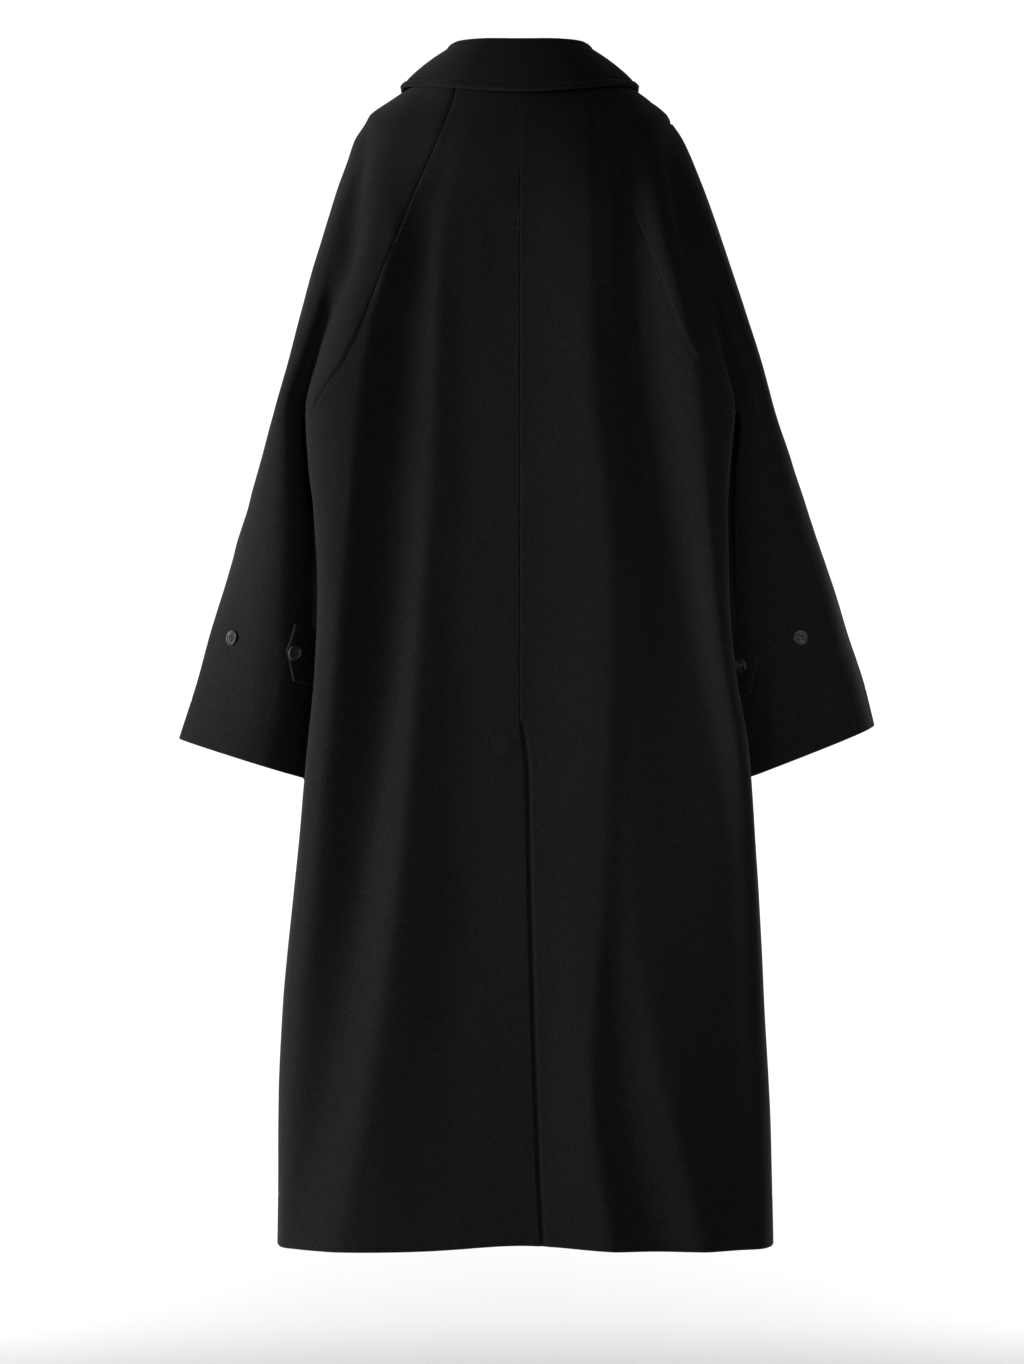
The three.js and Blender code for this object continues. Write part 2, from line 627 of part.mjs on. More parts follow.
// The bottom of an armhole, from its back end to its front end: the body's section, sagging a little.
function armholeBottom(side) {
  const { line, backCorner, frontCorner } = yokeSection(UNDERARM, side);
  const back = pointAt(line, backCorner);
  const front = pointAt(line, frontCorner);
  const body = measure(bodySection(UNDERARM, side));
  const depth = (p) => -p.y;
  const from = lengthWhere(body, depth, -back.y, 1);
  const to = lengthWhere(body, depth, -front.y, from);
  const backMiss = back.clone().sub(pointAt(body, from));
  const frontMiss = front.clone().sub(pointAt(body, to));
  return steps(from, to, 2 * COLUMNS.inner).map((length, i) => {
    const share = i / (2 * COLUMNS.inner);
    const point = pointAt(body, length).addScaledVector(backMiss, 1 - share).addScaledVector(frontMiss, share);
    point.z -= UNDERARM_SAG * Math.sin(Math.PI * share);
    return point;
  });
}

// The columns of a panel at a level, as lengths out from the middle: the lap under the other panel, the main
// part as far as the raglan seam, and from the underarm down the rest as far as the corner.
function backColumns(level, side) {
  const { backSeam, backCorner } = level.sections[side];
  const open = level.z <= VENT_OPEN;
  const edge = open ? at(VENT_EDGE, "x", level.z) : SEAM_GAP / 2;
  const rest = level.z > UNDERARM ? [] : steps(side * backSeam, side * backCorner, COLUMNS.backStrip).slice(1);
  if (side > 0) return { lap: [], main: steps(edge, backSeam, COLUMNS.back), rest, stepped: () => false };
  return {
    lap: open ? [UNDERLAP_REACH, UNDERLAP_REACH / 2] : [],
    main: [0, edge - STEP_END, ...steps(edge - STEP_START, -backSeam, COLUMNS.back - 2)],
    rest,
    stepped: (length) => open && length > edge - STEP_START + 1,
  };
}

function frontColumns(level, side) {
  const { line, frontSeam, frontCorner } = level.sections[side];
  const seam = side * (line.total - frontSeam);
  const corner = side * (line.total - frontCorner);
  const rest = level.z > UNDERARM ? [] : steps(seam, corner, COLUMNS.frontStrip).slice(1);
  if (side > 0) return { lap: [], main: steps(-FLY_LAP, seam, COLUMNS.front + 1), rest, stepped: () => false };
  return {
    lap: [FLY_LAP],
    main: [0, -FLY_LAP - STEP_END, ...steps(-FLY_LAP - STEP_START, seam, COLUMNS.front - 1)],
    rest,
    stepped: (length) => length > -FLY_LAP - STEP_START + 1,
  };
}

// The points of a panel, level by level, kept apart in its lap, main part and rest.
function panelRows(shell, all, columnsOf, side, behind) {
  const columns = all.map((level) => columnsOf(level, side));
  const lengths = columns.map(({ lap, main, rest }) => [...lap, ...main, ...rest]);
  const flat = lengths.map((row, r) => row.map((length) => fromMiddle(all[r], length, behind)));
  const points = stepIn(flat, lengths.map((row, r) => row.map(columns[r].stepped)), behind ? 1 : -1);
  return points.map((row, r) => {
    const numbers = shell.addAll(row);
    const start = columns[r].lap.length;
    const end = start + columns[r].main.length;
    return { lap: numbers.slice(0, start + 1), main: numbers.slice(start, end), rest: numbers.slice(end - 1) };
  });
}

function panelCells(shell, piece, rows, turned) {
  for (let r = 0; r + 1 < rows.length; r++) {
    for (const part of ["lap", "main", "rest"]) {
      if (rows[r][part].length === rows[r + 1][part].length) {
        shell.between(piece, rows[r][part], rows[r + 1][part], turned);
      }
    }
  }
}

// A point of a sleeve below the underarm, moved out where it would come too near the body.
function clearPoint(z, side, degrees) {
  const point = sleevePoint(z, side, degrees);
  const clear = bodyReach(point.y, point.z, side) + SLEEVE_CLEARANCE;
  point.x = side * Math.max(side * point.x, clear);
  return point;
}

// The underarm columns of a sleeve ring, round its inner side from the back to the front.
function innerRing(z, side, corners) {
  return steps(corners.back, corners.front + 360, 2 * COLUMNS.inner).map((degrees) => clearPoint(z, side, degrees));
}

// The outer columns of a sleeve ring below the underarm, from the back over the outside to the front.
function outerRing(z, side, corners) {
  const line = measure(steps(corners.back, corners.front, 90).map((degrees) => clearPoint(z, side, degrees)));
  const reach = Math.max(...line.points.map((p) => side * p.x));
  const overArm = lengthWhere(line, (p) => side * p.x, reach - overArmInset(z, side));
  return [
    ...steps(0, overArm, COLUMNS.outerBack),
    ...steps(overArm, line.total, COLUMNS.outerFront).slice(1),
  ].map((length) => pointAt(line, length));
}

// The angles of a sleeve's back and front corners at a height below the underarm.
function sleeveCorners(z, side) {
  const { line, backCorner, frontCorner } = yokeSection(UNDERARM, side);
  const back = onSleeve(pointAt(line, backCorner), UNDERARM, side).degrees;
  const front = onSleeve(pointAt(line, frontCorner), UNDERARM, side).degrees;
  const share = easeInOut((UNDERARM - z) / (UNDERARM - SLEEVE_CORNERS.settled));
  const settledBack = side > 0 ? SLEEVE_CORNERS.left : SLEEVE_CORNERS.right;
  return {
    back: back + (settledBack - back) * share,
    front: front + (SLEEVE_CORNERS.front - front) * share,
  };
}

// One side of the coat: its back, front and sleeve, sharing points along their seams.
function buildSide(shell, all, side, name) {
  const turned = side > 0;
  const back = panelRows(shell, all, backColumns, side, true);
  const front = panelRows(shell, all, frontColumns, side, false);
  panelCells(shell, "back_" + name, back, turned);
  panelCells(shell, "front_" + name, front, !turned);

  const bottom = armholeBottom(side);
  const split = YOKE_ROWS.length;
  const sides = all.slice(split).map((level, r) => {
    const numbers = shell.addAll(r === 0 ? bottom.slice(1, -1) : sideColumns(level, side));
    return {
      back: [back[split + r].rest.at(-1), ...numbers.slice(0, COLUMNS.side)],
      front: [...numbers.slice(COLUMNS.side - 1), front[split + r].rest.at(-1)],
    };
  });
  for (let r = 0; r + 1 < sides.length; r++) {
    shell.between("back_" + name, sides[r].back, sides[r + 1].back, turned);
    shell.between("front_" + name, sides[r].front, sides[r + 1].front, turned);
  }
  buildSleeve(shell, all, side, name, back, front, bottom);
}

// The columns of the skirt between the back and front panels, round the side.
function sideColumns(level, side) {
  const { line, backCorner, sideSeam, frontCorner } = level.sections[side];
  const lengths = [
    ...steps(backCorner, sideSeam, COLUMNS.side).slice(1),
    ...steps(sideSeam, frontCorner, COLUMNS.side).slice(1, -1),
  ];
  return lengths.map((length) => pointAt(line, length));
}

// A sleeve: the part between the raglan seams in the yoke, and the tube below it.
function buildSleeve(shell, all, side, name, back, front, bottom) {
  const turned = side > 0;
  const backPiece = "sleeve_" + name + "_back";
  const frontPiece = "sleeve_" + name + "_front";
  const split = YOKE_ROWS.length;
  const away = (point) => point.clone().add(new THREE.Vector3(side * 2 * SEAM_GAP, 0, 0));
  const [backEnd, frontEnd] = shell.addAll([bottom[0], bottom.at(-1)].map(away));
  const yoke = all.slice(0, split + 1).map((level, r) => {
    const { line, backSeam, backCorner, overArm, frontCorner, frontSeam } = level.sections[side];
    const added = (lengths) => shell.addAll(lengths.map((length) => pointAt(line, length)));
    const outside = added([
      ...steps(backCorner, overArm, COLUMNS.outerBack).slice(1),
      ...steps(overArm, frontCorner, COLUMNS.outerFront).slice(1, -1),
    ]);
    if (r === split) {
      return [...back[r].rest.slice(0, -1), backEnd, ...outside, frontEnd, ...front[r].rest.slice(0, -1).reverse()];
    }
    const backStrip = added(steps(backSeam, backCorner, COLUMNS.backStrip).slice(1));
    const frontStrip = added(steps(frontCorner, frontSeam, COLUMNS.frontStrip).slice(0, -1));
    return [back[r].main.at(-1), ...backStrip, ...outside, ...frontStrip, front[r].main.at(-1)];
  });
  const seam = COLUMNS.backStrip + COLUMNS.outerBack;
  for (let r = 0; r < split; r++) {
    shell.between(backPiece, yoke[r].slice(0, seam + 1), yoke[r + 1].slice(0, seam + 1), turned);
    shell.between(frontPiece, yoke[r].slice(seam), yoke[r + 1].slice(seam), turned);
  }

  const tubeTop = {
    outer: yoke[split].slice(COLUMNS.backStrip, yoke[split].length - COLUMNS.frontStrip),
    inner: [backEnd, ...shell.addAll(bottom.slice(1, -1).map(away)), frontEnd],
  };
  const cuff = (side > 0 ? LEFT_SLEEVE : RIGHT_SLEEVE).at(-1).z;
  const tube = [...SLEEVE_ROWS, cuff].map((z) => {
    const corners = sleeveCorners(z, side);
    const outer = shell.addAll(outerRing(z, side, corners));
    const inner = shell.addAll(innerRing(z, side, corners).slice(1, -1));
    return { outer, inner: [outer[0], ...inner, outer.at(-1)] };
  });
  const rings = [tubeTop, ...tube];
  for (let r = 0; r + 1 < rings.length; r++) {
    const [upper, lower] = [rings[r], rings[r + 1]];
    for (const [part, middle, way] of [["outer", COLUMNS.outerBack, turned], ["inner", COLUMNS.inner, !turned]]) {
      shell.between(backPiece, upper[part].slice(0, middle + 1), lower[part].slice(0, middle + 1), way);
      shell.between(frontPiece, upper[part].slice(middle), lower[part].slice(middle), way);
    }
  }
  sleeveRings[name] = tube;
}

// The collar as one sheet: the stand up from the neck, the roll, and the fall down to its edge.
function collarProfile(side, angle, restHeight) {
  const pick = (prefix) =>
    new THREE.Vector3(...["X", "Y", "Z"].map((axis) => at(COLLAR, prefix + axis, angle)));
  const roll = pick("roll");
  const edge = pick("edge");
  const tangent = new THREE.Vector3(...["X", "Y", "Z"].map((axis) => {
    return at(COLLAR, "roll" + axis, angle - 1) - at(COLLAR, "roll" + axis, angle + 1);
  })).normalize();
  const out = new THREE.Vector3(-tangent.y, tangent.x, 0).normalize();
  const up = new THREE.Vector3().crossVectors(tangent, out).normalize();
  if (up.z < 0) up.negate();
  const middle = roll.clone().addScaledVector(up, -ROLL_RADIUS);
  const arc = ROLL_ANGLES.map((degrees) => {
    const a = THREE.MathUtils.degToRad(degrees);
    return middle.clone().addScaledVector(out, ROLL_RADIUS * Math.cos(a)).addScaledVector(up, ROLL_RADIUS * Math.sin(a));
  });
  const bottom = standBottom(angle, arc[0], out);
  const top = bottom.clone().lerp(arc[0], 1 - (STAND_TOP_BELOW_ROLL - ROLL_RADIUS) / bottom.distanceTo(arc[0]));
  const fallStart = arc[arc.length - 1];
  const run = edge.clone().sub(fallStart);
  const bulge = new THREE.Vector3().crossVectors(tangent, run).normalize();
  if (bulge.dot(out) < 0) bulge.negate();
  const fall = steps(0, 1, FALL_ROWS).slice(1).map((share) => {
    const point = fallStart.clone().addScaledVector(run, share);
    return point.addScaledVector(bulge, FALL_BULGE * 4 * share * (1 - share));
  });
  const points = [bottom, bottom.clone().lerp(top, 0.5), top, ...arc, ...fall];
  points.forEach((point) => {
    point.x *= side;
  });
  points.slice(-FALL_ROWS).forEach((point) => {
    point.z = Math.max(point.z, restHeight(point));
  });
  return points;
}

// The neck side of the stand's bottom edge: its outer side all but touches the neckline of the coat.
function standBottom(angle, top, out) {
  const neck = bodyPoint(NECK, 1, angle);
  const onward = neck.clone().sub(bodyPoint(YOKE_ROWS[1], 1, angle)).normalize();
  const corner = neck.addScaledVector(onward, LAYER_GAP);
  const run = top.clone().sub(corner).normalize();
  const inwards = out.clone().negate();
  inwards.addScaledVector(run, -inwards.dot(run)).normalize();
  return corner.addScaledVector(inwards, COLLAR_WALL);
}

// The lowest height at which the collar's cloth lies on the coat, at a point seen from above.
function restHeightOn(meshes) {
  const SEARCH_FROM = 200;
  const ray = new THREE.Raycaster();
  const heightBelow = (x, y) => {
    ray.set(new THREE.Vector3(x, y, SEARCH_FROM), new THREE.Vector3(0, 0, -1));
    const [hit] = ray.intersectObjects(meshes);
    if (!hit) return -Infinity;
    return hit.point.z + (COLLAR_WALL + FALL_CLEARANCE) / Math.max(STEEPEST_REST, hit.face.normal.z);
  };
  // A ray through the gap of a seam misses the cloth, so two more are sent beside it.
  const ASIDE = 2;
  return (point) => Math.max(...[-ASIDE, 0, ASIDE].map((aside) => heightBelow(point.x + aside, point.y)));
}

function buildCollar(restHeight) {
  const sheet = new Sheet();
  const angles = steps(COLLAR_ENDS.back, COLLAR_ENDS.front, COLLAR_ENDS.columns);
  const profiles = [
    ...angles.slice(1).reverse().map((angle) => collarProfile(-1, angle, restHeight)),
    ...angles.map((angle) => collarProfile(1, angle, restHeight)),
  ].map((profile) => sheet.addAll(profile));
  const SEAM_ROW = 2;
  for (let i = 0; i + 1 < profiles.length; i++) {
    sheet.between("collar_stand", profiles[i].slice(0, SEAM_ROW + 1), profiles[i + 1].slice(0, SEAM_ROW + 1), false);
    sheet.between("collar_fall", profiles[i].slice(SEAM_ROW), profiles[i + 1].slice(SEAM_ROW), false);
  }
  return sheet;
}

// A cuff tab: the sleeve's own points from the underarm seam to the back corner, moved out, with a pointed end.
function buildTab(shell, normals, name, tip) {
  const side = name === "left" ? 1 : -1;
  const first = SLEEVE_ROWS.indexOf(TAB_ROWS[0]);
  const lift = LAYER_GAP + TAB_WALL;
  const raised = (number) => shell.points[number].clone().addScaledVector(normals[number], lift);
  const rows = TAB_ROWS.map((_, r) => {
    const ring = sleeveRings[name][first + r];
    return ring.inner.slice(0, COLUMNS.inner + 1).reverse().map(raised);
  });
  const middleRing = sleeveRings[name][first + 1];
  const [corner, next] = middleRing.outer.slice(0, 2).map(raised);
  const point = corner.clone().lerp(next, tip / corner.distanceTo(next));
  const sheet = new Sheet();
  const [upper, middle, lower] = rows.map((row) => sheet.addAll(row));
  const pointed = sheet.add(point);
  const piece = "cuff_tab_" + name;
  const turned = side > 0;
  sheet.between(piece, upper, middle, turned);
  sheet.between(piece, middle, lower, turned);
  const end = upper.length - 1;
  sheet.cell(piece, [upper[end], middle[end], pointed], turned);
  sheet.cell(piece, [middle[end], lower[end], pointed], turned);
  return sheet.solid(piece, TAB_WALL);
}

// A round button with a raised rim and four holes, lying on its back with its face up.
function buttonSolid() {
  const { radius, thickness, rim, rimSlope, dish, edge, holeRadius, holeSpread, roundSteps, holeSteps } = BUTTON;
  const outline = [
    [0, 0], [radius - edge, 0], [radius, edge], [radius, thickness - edge], [radius - edge, thickness],
    [radius - rim, thickness], [radius - rim - rimSlope, thickness - dish], [0, thickness - dish],
  ];
  const disc = wasm.Manifold.revolve([outline], roundSteps);
  const hole = wasm.Manifold.cylinder(3 * thickness, holeRadius, holeRadius, holeSteps, true);
  const holes = [[1, 1], [1, -1], [-1, 1], [-1, -1]].map(([u, v]) => hole.translate([u * holeSpread, v * holeSpread, 0]));
  const mesh = disc.subtract(wasm.Manifold.union(holes)).getMesh();
  const points = Array.from({ length: mesh.numVert }, (_, i) =>
    new THREE.Vector3(...mesh.vertProperties.slice(i * mesh.numProp, i * mesh.numProp + 3)));
  return geometryOf(points, Array.from(mesh.triVerts));
}

const SEEK_FROM = 20;

// Lays a button on a piece of cloth: looked at from a point along a direction, it is turned to face outwards
// there and moved in until it all but touches.
function seatButton(geometry, piece, from, direction) {
  const ray = new THREE.Raycaster(from, direction.clone().normalize());
  const [hit] = ray.intersectObject(piece);
  const normal = hit.face.normal.clone();
  const turn = new THREE.Quaternion().setFromUnitVectors(new THREE.Vector3(0, 0, 1), normal);
  let nearest = Infinity;
  for (let i = 0; i <= 12; i++) {
    const spread = i === 12 ? 0 : BUTTON.radius;
    const angle = (Math.PI * i) / 6;
    const offset = new THREE.Vector3(Math.cos(angle), Math.sin(angle), 0).multiplyScalar(spread);
    const start = hit.point.clone().add(offset.applyQuaternion(turn)).addScaledVector(normal, SEEK_FROM);
    const [found] = new THREE.Raycaster(start, normal.clone().negate()).intersectObject(piece);
    if (found) nearest = Math.min(nearest, found.distance);
  }
  const seat = hit.point.clone().addScaledVector(normal, SEEK_FROM - nearest + SEAM_GAP);
  return geometry.clone().applyQuaternion(turn).translate(seat.x, seat.y, seat.z);
}

const sleeveRings = {};
const all = levels();
const shell = new Sheet();
buildSide(shell, all, 1, "left");
buildSide(shell, all, -1, "right");

const shellPieces = [
  "back_left", "back_right", "front_left", "front_right",
  "sleeve_left_back", "sleeve_left_front", "sleeve_right_back", "sleeve_right_front",
];
const shellMeshes = shellPieces.map((piece) => addPiece(piece, shell.solid(piece, WALL), cloth));

const collar = buildCollar(restHeightOn(shellMeshes));
for (const piece of ["collar_stand", "collar_fall"]) addPiece(piece, collar.solid(piece, COLLAR_WALL), cloth);

const normals = shell.normals();
const button = buttonSolid();
for (const name of ["left", "right"]) {
  const side = name === "left" ? 1 : -1;
  const tab = addPiece("cuff_tab_" + name, buildTab(shell, normals, name, TABS[name + "Tip"]), cloth);
  const corner = sleeveRings[name][SLEEVE_ROWS.indexOf(TAB_ROWS[1])].outer[0];
  const away = normals[corner];
  const from = shell.points[corner].clone().addScaledVector(away, 40);
  addPiece("tab_button_" + name, seatButton(button, tab, from, away.clone().negate()), horn);
  const [x, z] = SLEEVE_BUTTONS[name];
  const sleeve = coat.getObjectByName("sleeve_" + name + "_back");
  const behind = new THREE.Vector3(x, 300, z);
  addPiece("sleeve_button_" + name, seatButton(button, sleeve, behind, new THREE.Vector3(0, -1, 0)), horn);
}

export default coat;
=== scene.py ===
# A long balmacaan coat of black wool, filled out as if it were worn, with nobody in it.
# Tables and sizes are in millimetres, +Z up. The back of the coat faces +Y and the wearer's left is +X.

import math

import bpy
import numpy as np
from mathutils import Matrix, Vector, noise
from mathutils.bvhtree import BVHTree
from mathutils.kdtree import KDTree


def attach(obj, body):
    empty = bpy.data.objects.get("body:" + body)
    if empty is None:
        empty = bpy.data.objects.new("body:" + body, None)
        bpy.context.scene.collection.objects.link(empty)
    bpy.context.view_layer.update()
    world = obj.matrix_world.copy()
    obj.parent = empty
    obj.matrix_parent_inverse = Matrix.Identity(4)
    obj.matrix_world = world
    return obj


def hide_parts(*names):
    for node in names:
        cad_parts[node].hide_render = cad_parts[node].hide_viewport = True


MM = 0.001

SIDE_NAMES = {1: "left", -1: "right"}

# Cloth: the thickness of the coat, the collar and the tabs, the air between layers, how far the edges are
# rounded off, and in how many steps. At a sharp fold a wall is at most this many times as thick.
WALL = 2.6
COLLAR_WALL = 3.6
TAB_WALL = 4
LAYER_GAP = 0.6
EDGE_ROUND = 1.1
EDGE_STEPS = 4
MITRE_LIMIT = 1.6

# Heights of the main points of the cut
NECK = 13
BELOW_NECK = 3
SHOULDER_END = -31
UNDERARM = -335
VENT_TOP = -648
VENT_OPEN = -654
HEM = -1178
HEM_LINE = -1128
CUFF_HEM = 38

# How far apart the rows of points lie, and the columns across each stretch of cloth
YOKE_STEP = 4.5
SKIRT_STEP = 6.5
TUBE_STEP = 5.5
COLUMNS = {
    "back": 56, "backStrip": 10, "side": 9, "frontStrip": 9, "front": 44,
    "outerBack": 20, "outerFront": 26, "inner": 14, "lap": 6,
}
# Columns lie closer together near their ends, by this much, or by less where they are more even.
CLOSER = 0.5
EVEN = 0.3
# How many points a body section, the arc of a sleeve over the yoke and a sleeve ring are measured with
SAMPLES = {"section": 361, "arc": 121, "ring": 181}
# Rays that find the cloth start this far above, behind or close to it.
RAY_FROM = {"above": 200, "behind": 300, "close": 20}


def table(names, *rows):
    """Rows of numbers under named columns. The rows are ordered by the first column, downwards."""
    values = np.array(rows, float)
    columns = {name: values[:, i] for i, name in enumerate(names)}
    columns["key"] = values[:, 0]
    return columns


# Sections of the body. left and right are half widths, back and front are the depths of the middle lines,
# widest is the depth of the side, the powers square the corners off (2 is an ellipse), and the drops say
# how far the middle back and the middle front of a yoke ring lie below its sides.
BODY = table(
    ["z", "left", "right", "back", "front", "widest", "backPower", "frontPower", "backDrop", "frontDrop"],
    [NECK, 74, 74, 64, -66, 2, 2.1, 2.1, 5, 85],
    [BELOW_NECK, 110, 109, 84, -85, 0, 2.1, 2.1, 12, 88],
    [-12, 134.5, 133, 99, -103, 0, 2.2, 2.1, 18, 90],
    [SHOULDER_END, 157.5, 154, 112, -117, 0, 2.6, 2.2, 21, 87],
    [-52, 163, 160, 121, -125, 0, 2.8, 2.2, 22, 84],
    [-75, 167, 167, 127, -130, 2, 3.1, 2.2, 22, 80],
    [-113, 172, 174, 134, -135, 6, 4.2, 2.2, 18, 68],
    [-154, 178, 180, 138, -137, 12, 5.5, 2.2, 12, 52],
    [-195, 186, 187, 141, -138, 18, 7, 2.2, 7, 37],
    [-236, 195, 196, 142, -138, 22, 8, 2.2, 4, 24],
    [-277, 205, 205, 143, -138, 26, 8.5, 2.2, 1, 12],
    [UNDERARM, 216, 217, 144, -138, 28, 9, 2.2, 0, 0],
    [-393, 213, 212, 145, -138, 28, 9.5, 2.2, 0, 0],
    [-436, 208, 210, 145, -138, 28, 10.5, 2.2, 0, 0],
    [-519, 204, 211, 146, -138, 28, 11, 2.2, 0, 0],
    [-594, 207, 217, 148, -140, 27, 11, 2.2, 0, 0],
    [-680, 215, 231, 151, -143, 26, 10, 2.2, 0, 0],
    [-792, 225.5, 239, 157, -148, 25, 8.5, 2.2, 0, 0],
    [-936, 240, 248, 165, -156, 25, 7, 2.2, 0, 0],
    [-1039, 244.5, 253, 169, -160, 25, 6, 2.2, 0, 0],
    [HEM, 246, 257, 172, -164, 25, 5, 2.2, 0, 0],
)
SIDE_SEAM_Y = -10
BACK_CORNER_BEHIND_SEAM = 100
FRONT_CORNER_AHEAD_OF_SEAM = 52
UNDERARM_SAG = 8
# A ring drops with this power of the share of its depth, and the folds' lift is whole beyond a share of it.
DROP_POWER = 1.6
WHOLE_LIFT_FROM = 1 / 3

# Rings of the sleeves. outer and inner are their reach from the coat's middle, y and depth their middle and
# half depth, turn swings the ring's back end inwards, and lean is how much lower the inner side lies. The
# powers shape the outer and the inner half: 2 is an ellipse, more is squarer, and less has flat slanting
# faces. Above the underarm only the outer part of a ring is cloth, and z is the height of the outer side.
SLEEVE_COLUMNS = ["z", "outer", "inner", "y", "depth", "turn", "lean", "outerPower", "innerPower"]
SLEEVES = {
    1: table(
        SLEEVE_COLUMNS,
        [SHOULDER_END, 158.5, 104, 0, 58, 0, 0, 2, 2],
        [-52, 171, 108, 0, 74, 0, 0, 2.1, 2],
        [-75, 178, 111, 2, 86, 0, 0, 2.2, 2],
        [-113, 189.5, 118, 6, 98, -3, 0, 2.4, 2],
        [-154, 201, 130, 10, 105, -5, 0, 2.5, 2],
        [-195, 212, 143, 12, 109, -7, 0, 2.5, 2],
        [-236, 222, 158, 12, 111, -8, 0, 2.4, 2],
        [-277, 232, 173, 9, 111, -9, 0, 2.3, 2],
        [UNDERARM, 249, 190, 5, 108, -10, 0, 2.1, 2],
        [-384, 265, 190, 3, 101, -8, 8, 2, 2],
        [-443, 284, 192, 3, 95, -3, 16, 1.9, 2],
        [-500, 300.5, 197, 4, 88, 4, 25, 1.8, 1.9],
        [-555, 317.5, 201, 5, 82, 11, 32, 1.7, 1.85],
        [-608, 331, 204, 7, 77, 15, 39, 1.65, 1.8],
        [-668, 350, 208, 8, 72, 18, 44, 1.65, 1.8],
    ),
    -1: table(
        SLEEVE_COLUMNS,
        [SHOULDER_END, 155, 104, 0, 58, 0, 0, 2, 2],
        [-52, 168, 108, 0, 73, 0, 0, 2.1, 2],
        [-75, 178, 111, 2, 85, 0, 0, 2.2, 2],
        [-113, 191, 118, 6, 97, -3, 0, 2.4, 2],
        [-154, 204, 130, 10, 104, -5, 0, 2.5, 2],
        [-195, 217, 143, 12, 108, -7, 0, 2.6, 2],
        [-236, 230, 158, 12, 110, -8, 0, 2.6, 2],
        [-277, 243, 173, 9, 110, -8, 0, 2.6, 2],
        [UNDERARM, 259.5, 190, 5, 107, -8, 0, 2.6, 2],
        [-384, 278.5, 190, 3, 100, -4, 9, 2.7, 2],
        [-443, 299.5, 194, 3, 92, 1, 20, 2.8, 2],
        [-500, 320, 202, 4, 84, 5, 30, 2.9, 2.2],
        [-555, 337.5, 217, 5, 77, 8, 40, 3, 2.4],
        [-608, 355, 229, 7, 70, 10, 47, 3.1, 2.6],
        [-655, 366, 233, 8, 64, 11, 53, 3.1, 2.6],
    ),
}
# The columns on the back and the front of a sleeve run down from the ends of the armhole to these angles of
# its ring, which they reach at the settled height.
SLEEVE_CORNERS = {1: 106, -1: 128, "front": -140, "settled": -470}
# The sleeve hangs this clear of the body, and its cuff only the least, from a height down and over a fade.
SLEEVE_CLEARANCE = 7
CUFF_CLEARANCE = {"least": 1.5, "from": -596, "fade": 40}
# A turned ring's half width is never less than this.
LEAST_ACROSS = 10
# The valleys beside a sleeve are rounded off this wide at the underarm and at the shoulder, and the rounding
# fades out at so many widths from them.
VALLEY_WIDTH = {"underarm": 4, "shoulder": 26}
SOFTEN_REACH = 3

# The raglan seams, as their reach from the middle, and how far inside the outline the over-arm seam lies
SEAMS = table(
    ["z", "back", "front", "leftOverArm", "rightOverArm"],
    [NECK, 62, 58, 0.2, 0.3],
    [-12, 70, 68, 0.4, 1],
    [-52, 87, 82, 0.8, 4],
    [-99, 106, 98, 1, 6],
    [-138, 119, 112, 1, 8],
    [-187, 137, 130, 1, 10],
    [-246, 158, 148, 1, 12],
    [-289, 179, 162, 1, 13],
    [-315, 196, 168, 1, 15],
    [UNDERARM, 206, 172, 1, 18],
    [-400, 206, 172, 1, 21],
    [-668, 206, 172, 1, 22],
)

# Fold lines of the back and the front, from the wearer's right (-X) to the left: where each crest or trough
# lies, and how far it stands out, at these heights. Between two lines the cloth swings over smoothly, and
# steeper near the crest where the sharpness is below 1. At the sides of the body, this share of the nearest
# fold's lift is left.
FOLD_HEIGHTS = [-30, -120, -300, -540, -780, -1000, HEM]
CREST_SHARPNESS = 0.8
LIFT_LEFT_AT_SIDES = 0.7


def fold(x, lift):
    """A fold line, with its place and its lift at the fold heights."""
    return table(["z", "x", "lift"], *zip(FOLD_HEIGHTS, x, lift))


BACK_FOLDS = {
    "right side crest": fold([-120, -140, -178, -200, -235, -240, -246], [2, 5, 9, 10, 6, 5, 5]),
    "right main trough": fold([-100, -107, -117, -160, -205, -213, -220], [0, -4, -10, -12, -7, -5, -4]),
    "right lower crest": fold([-88, -92, -96, -112, -106, -142, -186], [0, 1, 0, 1, 4, 5, 4]),
    "right lower trough": fold([-78, -80, -86, -102, -97, -100, -132], [0, 2, 3, 4, 5, 0, -6]),
    "right blade crest": fold([-68, -70, -77, -93, -88, -72, -92], [1, 3, 5, 6, 7, 8, 6]),
    "middle": fold([0, 0, 0, -1, -4, -12, -18], [0, -1, -3, -3, -2, -3, -7]),
    "left inner trough": fold([42, 42, 50, 50, 50, 52, 60], [0, -1, -4, -4, -3, -2, -3]),
    "left blade crest": fold([80, 81, 84, 98, 118, 146, 180], [0, 0, 0, 2, 7, 9, 6]),
    "left main trough": fold([97, 99, 116, 130, 156, 192, 226], [-1, -2, -8, -9, -10, -7, -4]),
    "left side crest": fold([118, 124, 160, 182, 206, 228, 240], [2, 5, 7, 7, 4, 2, 2]),
}
